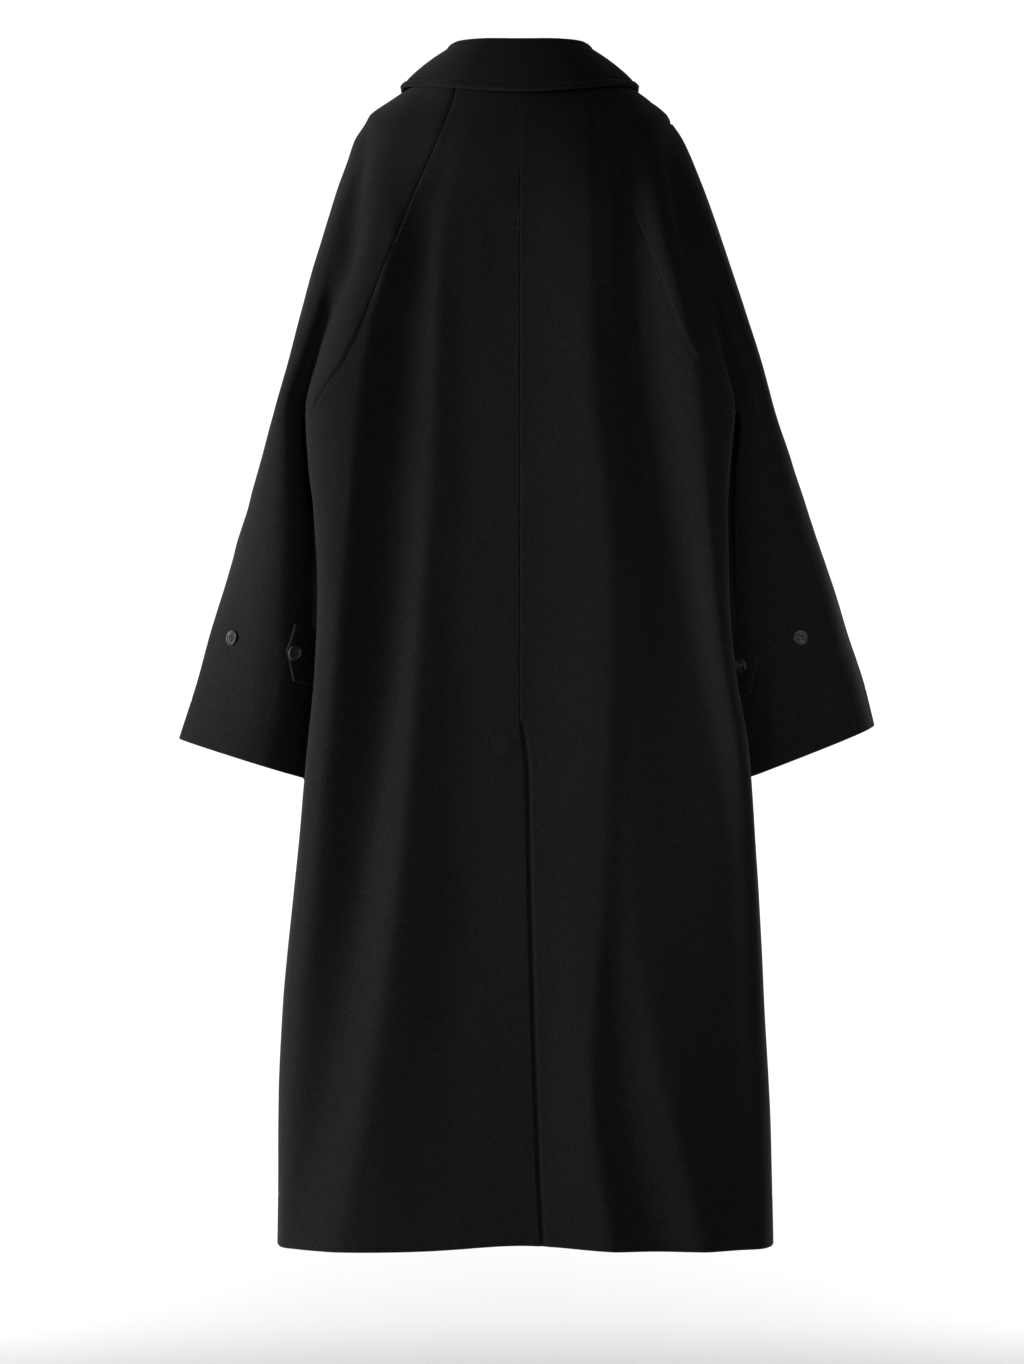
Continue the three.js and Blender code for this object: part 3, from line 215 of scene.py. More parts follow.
FRONT_FOLDS = {
    "right side crest": fold([-110, -125, -150, -176, -190, -205, -215], [0, 2, 4, 5, 6, 5, 4]),
    "right chest trough": fold([-85, -96, -112, -130, -142, -155, -166], [-1, -4, -8, -10, -9, -8, -9]),
    "right chest crest": fold([-66, -70, -78, -88, -92, -98, -108], [0, 2, 4, 5, 5, 6, 7]),
    "fly": fold([0, 0, 0, 0, 0, 0, 0], [0, 0, -1, -2, -2, -3, -3]),
    "left chest crest": fold([64, 69, 80, 84, 95, 104, 116], [0, 2, 4, 6, 5, 7, 6]),
    "left chest trough": fold([86, 98, 116, 126, 139, 158, 172], [-1, -4, -9, -10, -10, -8, -8]),
    "left side crest": fold([112, 127, 154, 172, 188, 203, 220], [0, 2, 4, 6, 6, 4, 4]),
}

# Vent and fly: the edge on top, how far the layer below reaches under it, how deep the step down to that
# layer is, and how far beyond the edge it starts and ends
VENT_EDGE = table(
    ["z", "x"], [VENT_OPEN, 0], [-700, -5], [-800, -7], [-950, -11], [-1100, -16], [HEM, -20]
)
UNDERLAP_REACH = 36
FLY_LAP = 30
STEP_DEPTH = WALL + 0.1
STEP_START = 6
STEP_END = 2

# The collar around the neck, by the angle round the neck from the back (90) to the front (-90): the top of
# its roll and the edge of its fall. The first row is the far side of the middle, for a smooth curve there.
COLLAR = table(
    ["angle", "rollX", "rollY", "rollZ", "edgeX", "edgeY", "edgeZ"],
    [120, -34, 56, 46, -60, 90, -12],
    [90, 0, 59, 45.5, 0, 98, -13],
    [60, 34, 56, 46, 60, 90, -9],
    [30, 60, 38, 46, 100, 55, -2],
    [0, 70, 6, 43, 123, 8, 1],
    [-30, 62, -28, 22, 119, -46, -24],
    [-60, 38, -58, -18, 100, -92, -64],
    [-87, 7, -74, -38, 57, -119, -103],
)
COLLAR_ENDS = {"back": 90, "front": -87, "columns": 72}
ROLL_RADIUS = 6
ROLL_ANGLES = np.linspace(180, 10, 13)
STAND_TOP_BELOW_ROLL = 12
STAND_ROWS = 5
FALL_BULGE = 3
# The fall lies this far above the coat, or is pressed together a little where this is below 0. Measured
# upwards it is thicker on a slope, whose upward facing counts as at least the steepest rest.
FALL_CLEARANCE = -0.6
STEEPEST_REST = 0.6
# Rows of the fall, as their distance from its edge. The border is stitched this far in.
BORDER = 8.5
FALL_EDGE_ROWS = [0, 1.6, 3.2, 5, 6.6, 7.7, BORDER, 9.3, 10.6, 13, 16.5]
FALL_MAIN_ROWS = 14

# Cuff tabs: their heights, how many of the sleeve's outer columns they may lie on, how far their tips reach
# past the sleeve's back corner, and how far from the edge they are stitched. From the tip's slanting edges
# that distance is this share of the distance along the tab.
TAB_HEIGHTS = [-530, -582]
TAB_ROWS = 14
TAB_COLUMNS = 18
TAB_OUTER_COLUMNS = 11
TAB_TIPS = {1: 9, -1: 17}
TAB_STITCH = 5
TAB_SLANT_SHARE = 0.8

# Buttons: the width of the rim, the depth of the dish inside it, how much the outer edge is rounded, and the
# back's share of the radius. The holes have a radius, lie this far out both ways, and have a sloping side.
BUTTON = {
    "radius": 7.75, "thickness": 3, "rim": 1.7, "dish": 1.2, "round": 0.9, "side": 0.5, "back": 0.95,
    "hole": 1.4, "spread": 1.9, "depth": 1.8, "slope": 0.4, "around": 72, "rows": 14,
}
BUTTON_EDGE_ROWS = [BUTTON["round"], 0.35, 0.08, 0]
SLEEVE_BUTTONS = {1: (292, -565), -1: (-284, -565)}

# Relief of the finish. A ridge has a height (a dent's is below 0), a place as its distance from a line, and
# a width. A stitched border stands out, less so at its very edge, and falls off over the fade.
SEAM_RIDGE = {"height": 0.45, "place": 5.5, "width": 3.5}
SEAM_DENT = {"height": -0.35, "place": 0, "width": 2.2}
PRESSED_DENT = {"height": -0.45, "place": 0, "width": 1.6}
PRESSED_RISE = {"height": 0.2, "below": 6, "above": 2}
PRESSED_REACH = 20
BORDER_DENT = {"height": -0.9, "place": BORDER, "width": 1.3}
BORDER_RISE = {"height": 1.1, "edge": 0.5, "fade": 2.5}
TAB_DENT = {"height": -0.7, "place": TAB_STITCH, "width": 1.2}
TAB_RISE = {"height": 0.5, "fade": 2}
# How plainly a seam shows. The over-arm seams are pressed flat, the right one only below a height.
SEAM_STRENGTH = 0.5
OVER_ARM_STRENGTH = {"left": 0.1, "right": 0.03, "below": -470, "fade": 80}
# How sharply the creases of the back give way to those of the front as the cloth turns to the side
FACING_SHARPNESS = 1.2
# Small waves of the cloth: how high, and how long across and down
WAVES = [
    {"height": 1.3, "across": 85, "down": 170, "shift": 0},
    {"height": 0.45, "across": 34, "down": 60, "shift": 7},
]


def slopes(x, y):
    """Slopes at the rows of a column that give a smooth curve with no overshoot."""
    rise = np.diff(y) / np.diff(x)
    product = rise[:-1] * rise[1:]
    total = np.where(product > 0, rise[:-1] + rise[1:], 1)
    inner = np.where(product > 0, 2 * product / total, 0)
    return np.concatenate([rise[:1], inner, rise[-1:]])


def at(rows, column, key):
    """A table's column at one key or many."""
    x, y = rows["key"], rows[column]
    slope = slopes(x, y)
    i = np.clip(np.searchsorted(-x, -np.asarray(key, float), side="right") - 1, 0, len(x) - 2)
    span = x[i + 1] - x[i]
    t = np.clip((key - x[i]) / span, 0, 1)
    t2 = t * t
    t3 = t2 * t
    from_start = y[i] * (2 * t3 - 3 * t2 + 1) + slope[i] * span * (t3 - 2 * t2 + t)
    return from_start + y[i + 1] * (3 * t2 - 2 * t3) + slope[i + 1] * span * (t3 - t2)


def ease(t):
    """From 0 to 1 with a soft start and end."""
    c = np.clip(t, 0, 1)
    return c * c * (3 - 2 * c)


def unit(vectors):
    """Vectors at length 1."""
    length = np.linalg.norm(vectors, axis=-1, keepdims=True)
    return vectors / np.maximum(length, 1e-9)


def graded(start, end, count, closer=CLOSER):
    """Places from start to end that lie closer together near both ends."""
    t = np.linspace(0, 1, count + 1)
    return start + (end - start) * (t - closer * np.sin(2 * math.pi * t) / (2 * math.pi))


def half_width(z, side):
    return at(BODY, SIDE_NAMES[side], z)


def over_arm_inset(z, side):
    return at(SEAMS, SIDE_NAMES[side] + "OverArm", z)


def of_face(name, z, behind):
    """A column of the body's table for the back, and its like for the front where a point isn't behind."""
    return np.where(behind, at(BODY, "back" + name, z), at(BODY, "front" + name, z))


def ridge(distance, height, place, width):
    """A soft ridge along a line, or a dent where the height is below 0."""
    return height * np.exp(-(((distance - place) / width) ** 2))


def fold_lift(folds, x, z):
    """How far the folds push the cloth of the back or the front outwards at x."""
    places = [-half_width(z, -1)] + [at(f, "x", z) for f in folds.values()] + [half_width(z, 1)]
    own = [at(f, "lift", z) for f in folds.values()]
    lifts = np.array([own[0] * LIFT_LEFT_AT_SIDES, *own, own[-1] * LIFT_LEFT_AT_SIDES])
    edges = np.array(places)
    i = np.clip(np.searchsorted(edges, x) - 1, 0, len(edges) - 2)
    t = np.clip((x - edges[i]) / (edges[i + 1] - edges[i]), 0, 1)
    falling = lifts[i + 1] < lifts[i]
    sharp = np.where(falling, t**CREST_SHARPNESS, 1 - (1 - t) ** CREST_SHARPNESS)
    return lifts[i] + (lifts[i + 1] - lifts[i]) * ease(sharp)


def body_points(z, side, degrees):
    """Points of the body's section. The angle is 90 degrees at the middle of the back, -90 in front."""
    degrees = np.asarray(degrees, float)
    angle = np.radians(degrees)
    behind = degrees >= 0
    power = of_face("Power", z, behind)
    c = np.maximum(0, np.cos(angle))
    s = np.abs(np.sin(angle))
    reach = (c**power + s**power) ** (-1 / power)
    widest = at(BODY, "widest", z)
    depth = of_face("", z, behind) - widest
    x = side * half_width(z, side) * reach * c
    share = reach * s
    lift = np.where(behind, fold_lift(BACK_FOLDS, x, z), -fold_lift(FRONT_FOLDS, x, z))
    drop = of_face("Drop", z, behind) * share**DROP_POWER
    return np.stack([x, widest + depth * share + lift * ease(share / WHOLE_LIFT_FROM), z - drop], axis=-1)


def body_section(z, side):
    return body_points(z, side, np.linspace(90, -90, SAMPLES["section"]))


def sleeve_ellipse(z, side):
    """A sleeve's ring, a squared ellipse: its table's values, its middle and how far it reaches."""
    ring = {name: at(SLEEVES[side], name, z) for name in SLEEVE_COLUMNS[1:]}
    turn = math.radians(ring["turn"])
    reach = (ring["outer"] - ring["inner"]) / 2
    dual = ring["outerPower"] / (ring["outerPower"] - 1)
    left = reach**dual - (ring["depth"] * abs(math.sin(turn))) ** dual
    across = max(LEAST_ACROSS**dual, left) ** (1 / dual) / math.cos(turn)
    middle = (ring["outer"] + ring["inner"]) / 2
    return {**ring, "turn": turn, "reach": reach, "across": across, "middle": middle}


def signed_power(values, power):
    """The size of numbers raised to a power, with their own signs."""
    return np.sign(values) * np.abs(values) ** power


def lean_drop(ring, x):
    """How far a slanting ring lies below its outer side, at a reach from the coat's middle."""
    return ring["lean"] * (ring["middle"] + ring["reach"] - x) / (2 * ring["reach"])


def sleeve_points(z, side, degrees):
    """Points of a sleeve's ring. The angle is 0 outside, 90 degrees behind, 180 inside and -90 in front."""
    e = sleeve_ellipse(z, side)
    angle = np.radians(degrees)
    power = np.where(np.cos(angle) > 0, e["outerPower"], e["innerPower"])
    u = e["across"] * signed_power(np.cos(angle), 2 / power)
    v = e["depth"] * signed_power(np.sin(angle), 2 / power)
    x = e["middle"] + u * math.cos(e["turn"]) - v * math.sin(e["turn"])
    y = e["y"] + u * math.sin(e["turn"]) + v * math.cos(e["turn"])
    return np.stack([side * x, y, z - lean_drop(e, x)], axis=-1)


def clear_points(z, side, degrees):
    """Points of a sleeve below the underarm, moved out where they would come too near the body."""
    points = sleeve_points(z, side, degrees)
    below_tab = ease((CUFF_CLEARANCE["from"] - points[:, 2]) / CUFF_CLEARANCE["fade"])
    clearance = SLEEVE_CLEARANCE + (CUFF_CLEARANCE["least"] - SLEEVE_CLEARANCE) * below_tab
    clear = body_reach(points[:, 1], points[:, 2], side) + clearance
    points[:, 0] = side * np.maximum(side * points[:, 0], clear)
    return points


def on_sleeve(points, z, side):
    """Where points lie against a sleeve's ring: inside it or not, and at what angle."""
    e = sleeve_ellipse(z, side)
    dx = side * points[..., 0] - e["middle"]
    dy = points[..., 1] - e["y"]
    across = (dx * math.cos(e["turn"]) + dy * math.sin(e["turn"])) / e["across"]
    power = np.where(across > 0, e["outerPower"], e["innerPower"])
    u = signed_power(across, power / 2)
    v = signed_power((dy * math.cos(e["turn"]) - dx * math.sin(e["turn"])) / e["depth"], power / 2)
    return u * u + v * v < 1, np.degrees(np.arctan2(v, u))


class Line:
    """A line of points with the length to each of them."""

    def __init__(self, points):
        self.points = np.asarray(points, float)
        spans = np.linalg.norm(np.diff(self.points, axis=0), axis=1)
        self.lengths = np.concatenate([[0], np.cumsum(spans)])
        self.total = self.lengths[-1]

    def at(self, length):
        return np.stack([np.interp(length, self.lengths, self.points[:, k]) for k in range(3)], axis=-1)

    def where(self, values, target, after=0):
        """The length, after a first one, where the values at the points pass a target."""
        v = values - target
        for i in range(1, len(v)):
            if self.lengths[i] <= after or v[i - 1] * v[i] > 0 or v[i - 1] == v[i]:
                continue
            share = v[i - 1] / (v[i - 1] - v[i])
            return self.lengths[i - 1] + (self.lengths[i] - self.lengths[i - 1]) * share
        return self.total

    def softened(self, length, width):
        """The line rounded off around one length, less and less away from it."""
        near = 1 - np.abs(self.lengths - length) / (SOFTEN_REACH * width)
        spread = width * ease(near)
        samples = [self.at(self.lengths + s * spread) for s in (-1, -0.6, -0.3, 0, 0.3, 0.6, 1)]
        return Line(np.where((near > 0)[:, None], sum(samples) / len(samples), self.points))


def sleeve_arc(z, side, start, end):
    """The outer part of a sleeve's ring between two points of the body, rising to the ring's height."""
    angles = on_sleeve(np.array([start, end]), z, side)[1]
    t = np.linspace(0, 1, SAMPLES["arc"])
    points = sleeve_points(z, side, angles[0] + (angles[1] - angles[0]) * t)
    base = start[2] + (end[2] - start[2]) * ease(t)
    points[:, 2] = base + (z - base) * np.sin(math.pi * t)
    return points


SHOULDER_SHARES = {}


def yoke_section(z, side):
    """One side's section of the yoke, from the middle of the back over the sleeve to the middle of the
    front, with the lengths of the seams on it and of the valleys beside the sleeve."""
    body = body_section(z, side)
    line = Line(body)
    valleys = None
    if z <= SHOULDER_END:
        inside = np.nonzero(on_sleeve(body, z, side)[0])[0]
        first, last = inside[0], inside[-1]
        ring = sleeve_arc(z, side, body[first], body[last])
        line = Line(np.concatenate([body[:first], ring, body[last + 1 :]]))
        valleys = [line.lengths[first], line.lengths[first + len(ring) - 1]]
        rise = ease((z - UNDERARM) / (SHOULDER_END - UNDERARM))
        width = VALLEY_WIDTH["underarm"] + (VALLEY_WIDTH["shoulder"] - VALLEY_WIDTH["underarm"]) * rise
        for valley in valleys:
            line = line.softened(valley, width)
    out = side * line.points[:, 0]
    outermost = line.lengths[np.argmax(out)]
    back_seam = line.where(out, at(SEAMS, "back", z))
    front_seam = line.where(out, at(SEAMS, "front", z), outermost)
    if valleys is None:
        shares = shoulder_shares(side)
        valleys = [
            back_seam + (outermost - back_seam) * shares[0],
            front_seam + (outermost - front_seam) * shares[1],
        ]
    over_arm = line.where(out, out.max() - over_arm_inset(z, side), valleys[0])
    return {
        "line": line, "backSeam": back_seam, "backCorner": valleys[0], "overArm": over_arm,
        "frontCorner": valleys[1], "frontSeam": front_seam, "outermost": outermost,
    }


def shoulder_shares(side):
    """How far the valleys lie from the raglan seams to the outermost point, at the shoulder's end."""
    if side not in SHOULDER_SHARES:
        s = yoke_section(SHOULDER_END, side)
        SHOULDER_SHARES[side] = [
            (s["backCorner"] - s["backSeam"]) / (s["outermost"] - s["backSeam"]),
            (s["frontCorner"] - s["frontSeam"]) / (s["outermost"] - s["frontSeam"]),
        ]
    return SHOULDER_SHARES[side]


def body_reach(y, z, side):
    """How far the body reaches sideways at a depth and height."""
    widest = at(BODY, "widest", z)
    behind = y >= widest
    power = of_face("Power", z, behind)
    depth = np.abs(of_face("", z, behind) - widest)
    share = np.minimum(1, np.abs(y - widest) / depth)
    return half_width(z, side) * (1 - share**power) ** (1 / power)


def across_cells(points, cells):
    """A vector straight out of each cell of four corners, as long as twice its area."""
    a, b, c, d = (points[cells[:, k]] for k in range(4))
    return np.cross(c - a, d - b)


class Sheet:
    """A sheet of cloth: the outer points and the cells of all pieces that share seams."""

    def __init__(self):
        self.points = []
        self.cells = {}

    def add(self, points):
        first = len(self.points)
        self.points.extend(np.atleast_2d(points))
        return list(range(first, len(self.points)))

    def between(self, piece, upper, lower, turned):
        """Cells between two rows of point numbers. turned says whether the rows run the other way round."""
        cells = self.cells.setdefault(piece, [])
        for i in range(len(upper) - 1):
            corners = [upper[i], lower[i], lower[i + 1], upper[i + 1]]
            if len(set(corners)) == 4:
                cells.append(corners[::-1] if turned else corners)

    def between_two(self, pieces, seam, upper, lower, turned):
        """Cells between two rows, of one piece as far as the seam's column and of the next beyond it."""
        self.between(pieces[0], upper[: seam + 1], lower[: seam + 1], turned)
        self.between(pieces[1], upper[seam:], lower[seam:], turned)

    def settle(self):
        """Turns the points into one array and finds the way that the cloth faces at each of them."""
        self.points = np.array(self.points, float)
        self.normals = self.facing(self.points)

    def facing(self, points):
        cells = np.array([cell for own in self.cells.values() for cell in own])
        face = across_cells(points, cells)
        normals = np.zeros_like(points)
        for k in range(4):
            np.add.at(normals, cells[:, k], face)
        return unit(normals)

    def rim(self, piece):
        """The edges of a piece, which only one of its cells has."""
        edges = {(cell[k - 1], cell[k]): True for cell in self.cells[piece] for k in (1, 2, 3, 0)}
        return [(a, b) for a, b in edges if (b, a) not in edges]

    def insets(self, rim):
        """The directions into the piece at the ends of its edges."""
        total = {}
        for a, b in rim:
            run = self.points[b] - self.points[a]
            for end in (a, b):
                inward = unit(np.cross(self.normals[end], run))
                total[end] = total.get(end, 0) + inward
        return {end: unit(inward) for end, inward in total.items()}

    def wall(self, piece, wall):
        """One piece as a closed wall with rounded edges: its vertices and faces."""
        cells = np.array(self.cells[piece])
        rim = self.rim(piece)
        insets = self.insets(rim)
        own = np.unique(cells)
        numbers = {int(corner): i for i, corner in enumerate(own)}
        outer = self.points[own].copy()
        normals = self.normals[own]
        slant = self.slants(cells, own)
        for corner, inward in insets.items():
            outer[numbers[corner]] += inward * EDGE_ROUND
        inner = outer - normals * (wall / slant)[:, None]
        vertices = [outer, inner]
        count = len(own)
        arcs = {}
        following = 2 * count
        for corner, inward in insets.items():
            i = numbers[corner]
            middle, half = (outer[i] + inner[i]) / 2, (outer[i] - inner[i]) / 2
            turns = math.pi * np.arange(1, EDGE_STEPS) / EDGE_STEPS
            arc = middle + np.outer(np.cos(turns), half) - np.outer(np.sin(turns), inward * EDGE_ROUND)
            vertices.append(arc)
            arcs[corner] = [i, *range(following, following + EDGE_STEPS - 1), count + i]
            following += EDGE_STEPS - 1
        lookup = np.zeros(len(self.points), int)
        lookup[own] = np.arange(count)
        outside = lookup[cells]
        faces = outside.tolist() + (outside[:, ::-1] + count).tolist()
        for a, b in rim:
            for k in range(EDGE_STEPS):
                faces.append([arcs[b][k], arcs[a][k], arcs[a][k + 1], arcs[b][k + 1]])
        return np.concatenate(vertices), faces

    def slants(self, cells, own):
        """How squarely the cells face along each point's own direction, where the wall must be thicker."""
        least = np.ones(len(self.points))
        face = unit(across_cells(self.points, cells))
        for k in range(4):
            facing = np.sum(face * self.normals[cells[:, k]], axis=1)
            np.minimum.at(least, cells[:, k], facing)
        return np.maximum(1 / MITRE_LIMIT, least[own])

    def tree(self):
        """The sheet's outer surface, to be searched."""
        cells = [cell for own in self.cells.values() for cell in own]
        return BVHTree.FromPolygons([Vector(p) for p in self.points], cells)


def heights_between(top, bottom, step, extra=()):
    """Heights from the top to the bottom in near-equal steps, with some that must be there."""
    rows = []
    stops = sorted({top, bottom, *extra}, reverse=True)
    for upper, lower in zip(stops, stops[1:]):
        count = max(1, round((upper - lower) / step))
        rows.extend(np.linspace(upper, lower, count + 1)[:-1])
    return [float(row) for row in rows] + [float(bottom)]


def around_line(height):
    """Rows close together around a pressed line."""
    return [height + side * d for side in (1, -1) for d in (6, 3.5, 1.8, 0.7)]


YOKE_ROWS = heights_between(NECK, UNDERARM, YOKE_STEP, [SHOULDER_END])[:-1]
SKIRT_ROWS = heights_between(UNDERARM, HEM, SKIRT_STEP, [VENT_TOP, VENT_OPEN, *around_line(HEM_LINE)])[1:]


def skirt_section(z, side):
    """A section of the skirt. Its columns carry on those of the yoke."""
    line = Line(body_section(z, side))
    side_seam = line.where(-line.points[:, 1], -SIDE_SEAM_Y)
    back_corner = side_seam - BACK_CORNER_BEHIND_SEAM
    front_corner = side_seam + FRONT_CORNER_AHEAD_OF_SEAM
    split = yoke_at_underarm(side)
    ahead = split["line"].total
    front_share = (ahead - split["frontSeam"]) / (ahead - split["frontCorner"])
    return {
        "line": line, "sideSeam": side_seam, "backCorner": back_corner, "frontCorner": front_corner,
        "backSeam": back_corner * split["backSeam"] / split["backCorner"],
        "frontSeam": line.total - (line.total - front_corner) * front_share,
    }


UNDERARM_SECTIONS = {}


def yoke_at_underarm(side):
    if side not in UNDERARM_SECTIONS:
        UNDERARM_SECTIONS[side] = yoke_section(UNDERARM, side)
    return UNDERARM_SECTIONS[side]


def levels():
    """The levels of the coat from the neck to the hem, each with a section of both sides."""
    parts = [(yoke_section, [*YOKE_ROWS, UNDERARM]), (skirt_section, SKIRT_ROWS)]
    return [{"z": z, 1: section(z, 1), -1: section(z, -1)} for section, heights in parts for z in heights]


def from_middle(level, lengths, behind):
    """Points of a level at lengths from its middle, which are positive on the left side of the coat."""
    points = np.zeros((len(lengths), 3))
    for side in (1, -1):
        line = level[side]["line"]
        chosen = (lengths >= 0) == (side > 0)
        away = np.abs(lengths[chosen])
        points[chosen] = line.at(away if behind else line.total - away)
    return points


def armhole_bottom(side):
    """The bottom of an armhole, from its back end to its front end: the body's section, sagging a little."""
    section = yoke_at_underarm(side)
    back = section["line"].at(section["backCorner"])
    front = section["line"].at(section["frontCorner"])
    body = Line(body_section(UNDERARM, side))
    depth = -body.points[:, 1]
    start = body.where(depth, -back[1], 1)
    end = body.where(depth, -front[1], start)
    share = np.linspace(0, 1, 2 * COLUMNS["inner"] + 1)
    points = body.at(start + (end - start) * share)
    points += np.outer(1 - share, back - body.at(start)) + np.outer(share, front - body.at(end))
    points[:, 2] -= UNDERARM_SAG * np.sin(math.pi * share)
    return points


def panel_columns(part, z, side, edge, seam, corner, reach):
    """The columns of a panel, as lengths out from the middle: the lap that reaches under the other panel,
    the main part from the edge on top to the raglan seam, and below the underarm the rest to the corner."""
    rest = [] if z > UNDERARM else list(graded(seam, corner, COLUMNS[part + "Strip"], 0))[1:]
    if side > 0:
        return {"lap": [], "main": list(graded(edge, seam, COLUMNS[part])), "rest": rest, "step_from": None}
    lap = list(np.linspace(reach, 0, COLUMNS["lap"] + 1))[:-1] if reach else []
    main = [0, edge - STEP_END, *graded(edge - STEP_START, seam, COLUMNS[part] - 2)]
    return {"lap": lap, "main": main, "rest": rest, "step_from": edge - STEP_START + 1 if reach else None}


def back_columns(level, side):
    z = level["z"]
    is_open = z <= VENT_OPEN
    edge = float(at(VENT_EDGE, "x", z)) if is_open else 0
    seam, corner = side * level[side]["backSeam"], side * level[side]["backCorner"]
    return panel_columns("back", z, side, edge, seam, corner, UNDERLAP_REACH if is_open else 0)


def front_columns(level, side):
    total = level[side]["line"].total
    seam = side * (total - level[side]["frontSeam"])
    corner = side * (total - level[side]["frontCorner"])
    return panel_columns("front", level["z"], side, -FLY_LAP, seam, corner, FLY_LAP)


def panel_rows(shell, all_levels, columns_of, side, behind):
    """The points of a panel, level by level, kept apart in its lap, main part and rest. The points under the
    other panel are moved in by the step."""
    rows = []
    for r, level in enumerate(all_levels):
        columns = columns_of(level, side)
        lengths = np.array(columns["lap"] + columns["main"] + columns["rest"])
        points = from_middle(level, lengths, behind)
        if columns["step_from"] is not None:
            above = all_levels[max(0, r - 1)]
            below = all_levels[min(len(all_levels) - 1, r + 1)]
            across = from_middle(level, lengths + 1, behind) - from_middle(level, lengths - 1, behind)
            down = from_middle(below, lengths, behind) - from_middle(above, lengths, behind)
            normal = unit(np.cross(across, down))
            normal *= np.where(normal[:, 1] > 0, 1, -1)[:, None] * (1 if behind else -1)
            stepped = lengths > columns["step_from"]
            points -= normal * (STEP_DEPTH * stepped)[:, None]
        numbers = shell.add(points)
        start = len(columns["lap"])
        end = start + len(columns["main"])
        rows.append({"lap": numbers[: start + 1], "main": numbers[start:end], "rest": numbers[end - 1 :]})
    return rows


def panel_cells(shell, piece, rows, turned):
    """The cells of a panel. A part that starts or ends between two levels has none there."""
    for upper, lower in zip(rows, rows[1:]):
        for part in ("lap", "main", "rest"):
            if len(upper[part]) == len(lower[part]):
                shell.between(piece, upper[part], lower[part], turned)


def sleeve_corners(z, side):
    """The angles of a sleeve's back and front corners at a height below the underarm."""
    section = yoke_at_underarm(side)
    ends = section["line"].at([section["backCorner"], section["frontCorner"]])
    back, front = on_sleeve(ends, UNDERARM, side)[1]
    share = ease((UNDERARM - z) / (UNDERARM - SLEEVE_CORNERS["settled"]))
    return back + (SLEEVE_CORNERS[side] - back) * share, front + (SLEEVE_CORNERS["front"] - front) * share


def outer_ring(z, side):
    """The outer columns of a sleeve ring below the underarm, from the back over the outside to the front."""
    back, front = sleeve_corners(z, side)
    line = Line(clear_points(z, side, np.linspace(back, front, SAMPLES["ring"])))
    out = side * line.points[:, 0]
    over_arm = line.where(out, out.max() - over_arm_inset(z, side))
    lengths = [
        *graded(0, over_arm, COLUMNS["outerBack"]),
        *graded(over_arm, line.total, COLUMNS["outerFront"])[1:],
    ]
    return line.at(lengths)


def inner_ring(z, side):
    """The underarm columns of a sleeve ring, round its inner side from the back to the front."""
    back, front = sleeve_corners(z, side)
    return clear_points(z, side, np.linspace(back, front + 360, 2 * COLUMNS["inner"] + 1))


def side_columns(level, side):
    """The columns of the skirt between the back and front panels, round the side."""
    section = level[side]
    lengths = [
        *graded(section["backCorner"], section["sideSeam"], COLUMNS["side"], EVEN)[1:],
        *graded(section["sideSeam"], section["frontCorner"], COLUMNS["side"], EVEN)[1:-1],
    ]
    return section["line"].at(lengths)


def build_side(shell, all_levels, side):
    """One side of the coat: its back, front and sleeve, sharing points along their seams."""
    turned = side > 0
    name = SIDE_NAMES[side]
    back = panel_rows(shell, all_levels, back_columns, side, True)
    front = panel_rows(shell, all_levels, front_columns, side, False)
    panel_cells(shell, "back_" + name, back, turned)
    panel_cells(shell, "front_" + name, front, not turned)

    bottom = armhole_bottom(side)
    split = len(YOKE_ROWS)
    count = COLUMNS["side"]
    share = np.linspace(0, 1, 2 * count + 1)[1:-1]
    under_arm = Line(bottom)
    rows = []
    for r, level in enumerate(all_levels[split:]):
        points = under_arm.at(share * under_arm.total) if r == 0 else side_columns(level, side)
        rows.append([back[split + r]["rest"][-1], *shell.add(points), front[split + r]["rest"][-1]])
    for upper, lower in zip(rows, rows[1:]):
        shell.between_two(["back_" + name, "front_" + name], count, upper, lower, turned)
    build_sleeve(shell, all_levels, side, back, front, bottom)


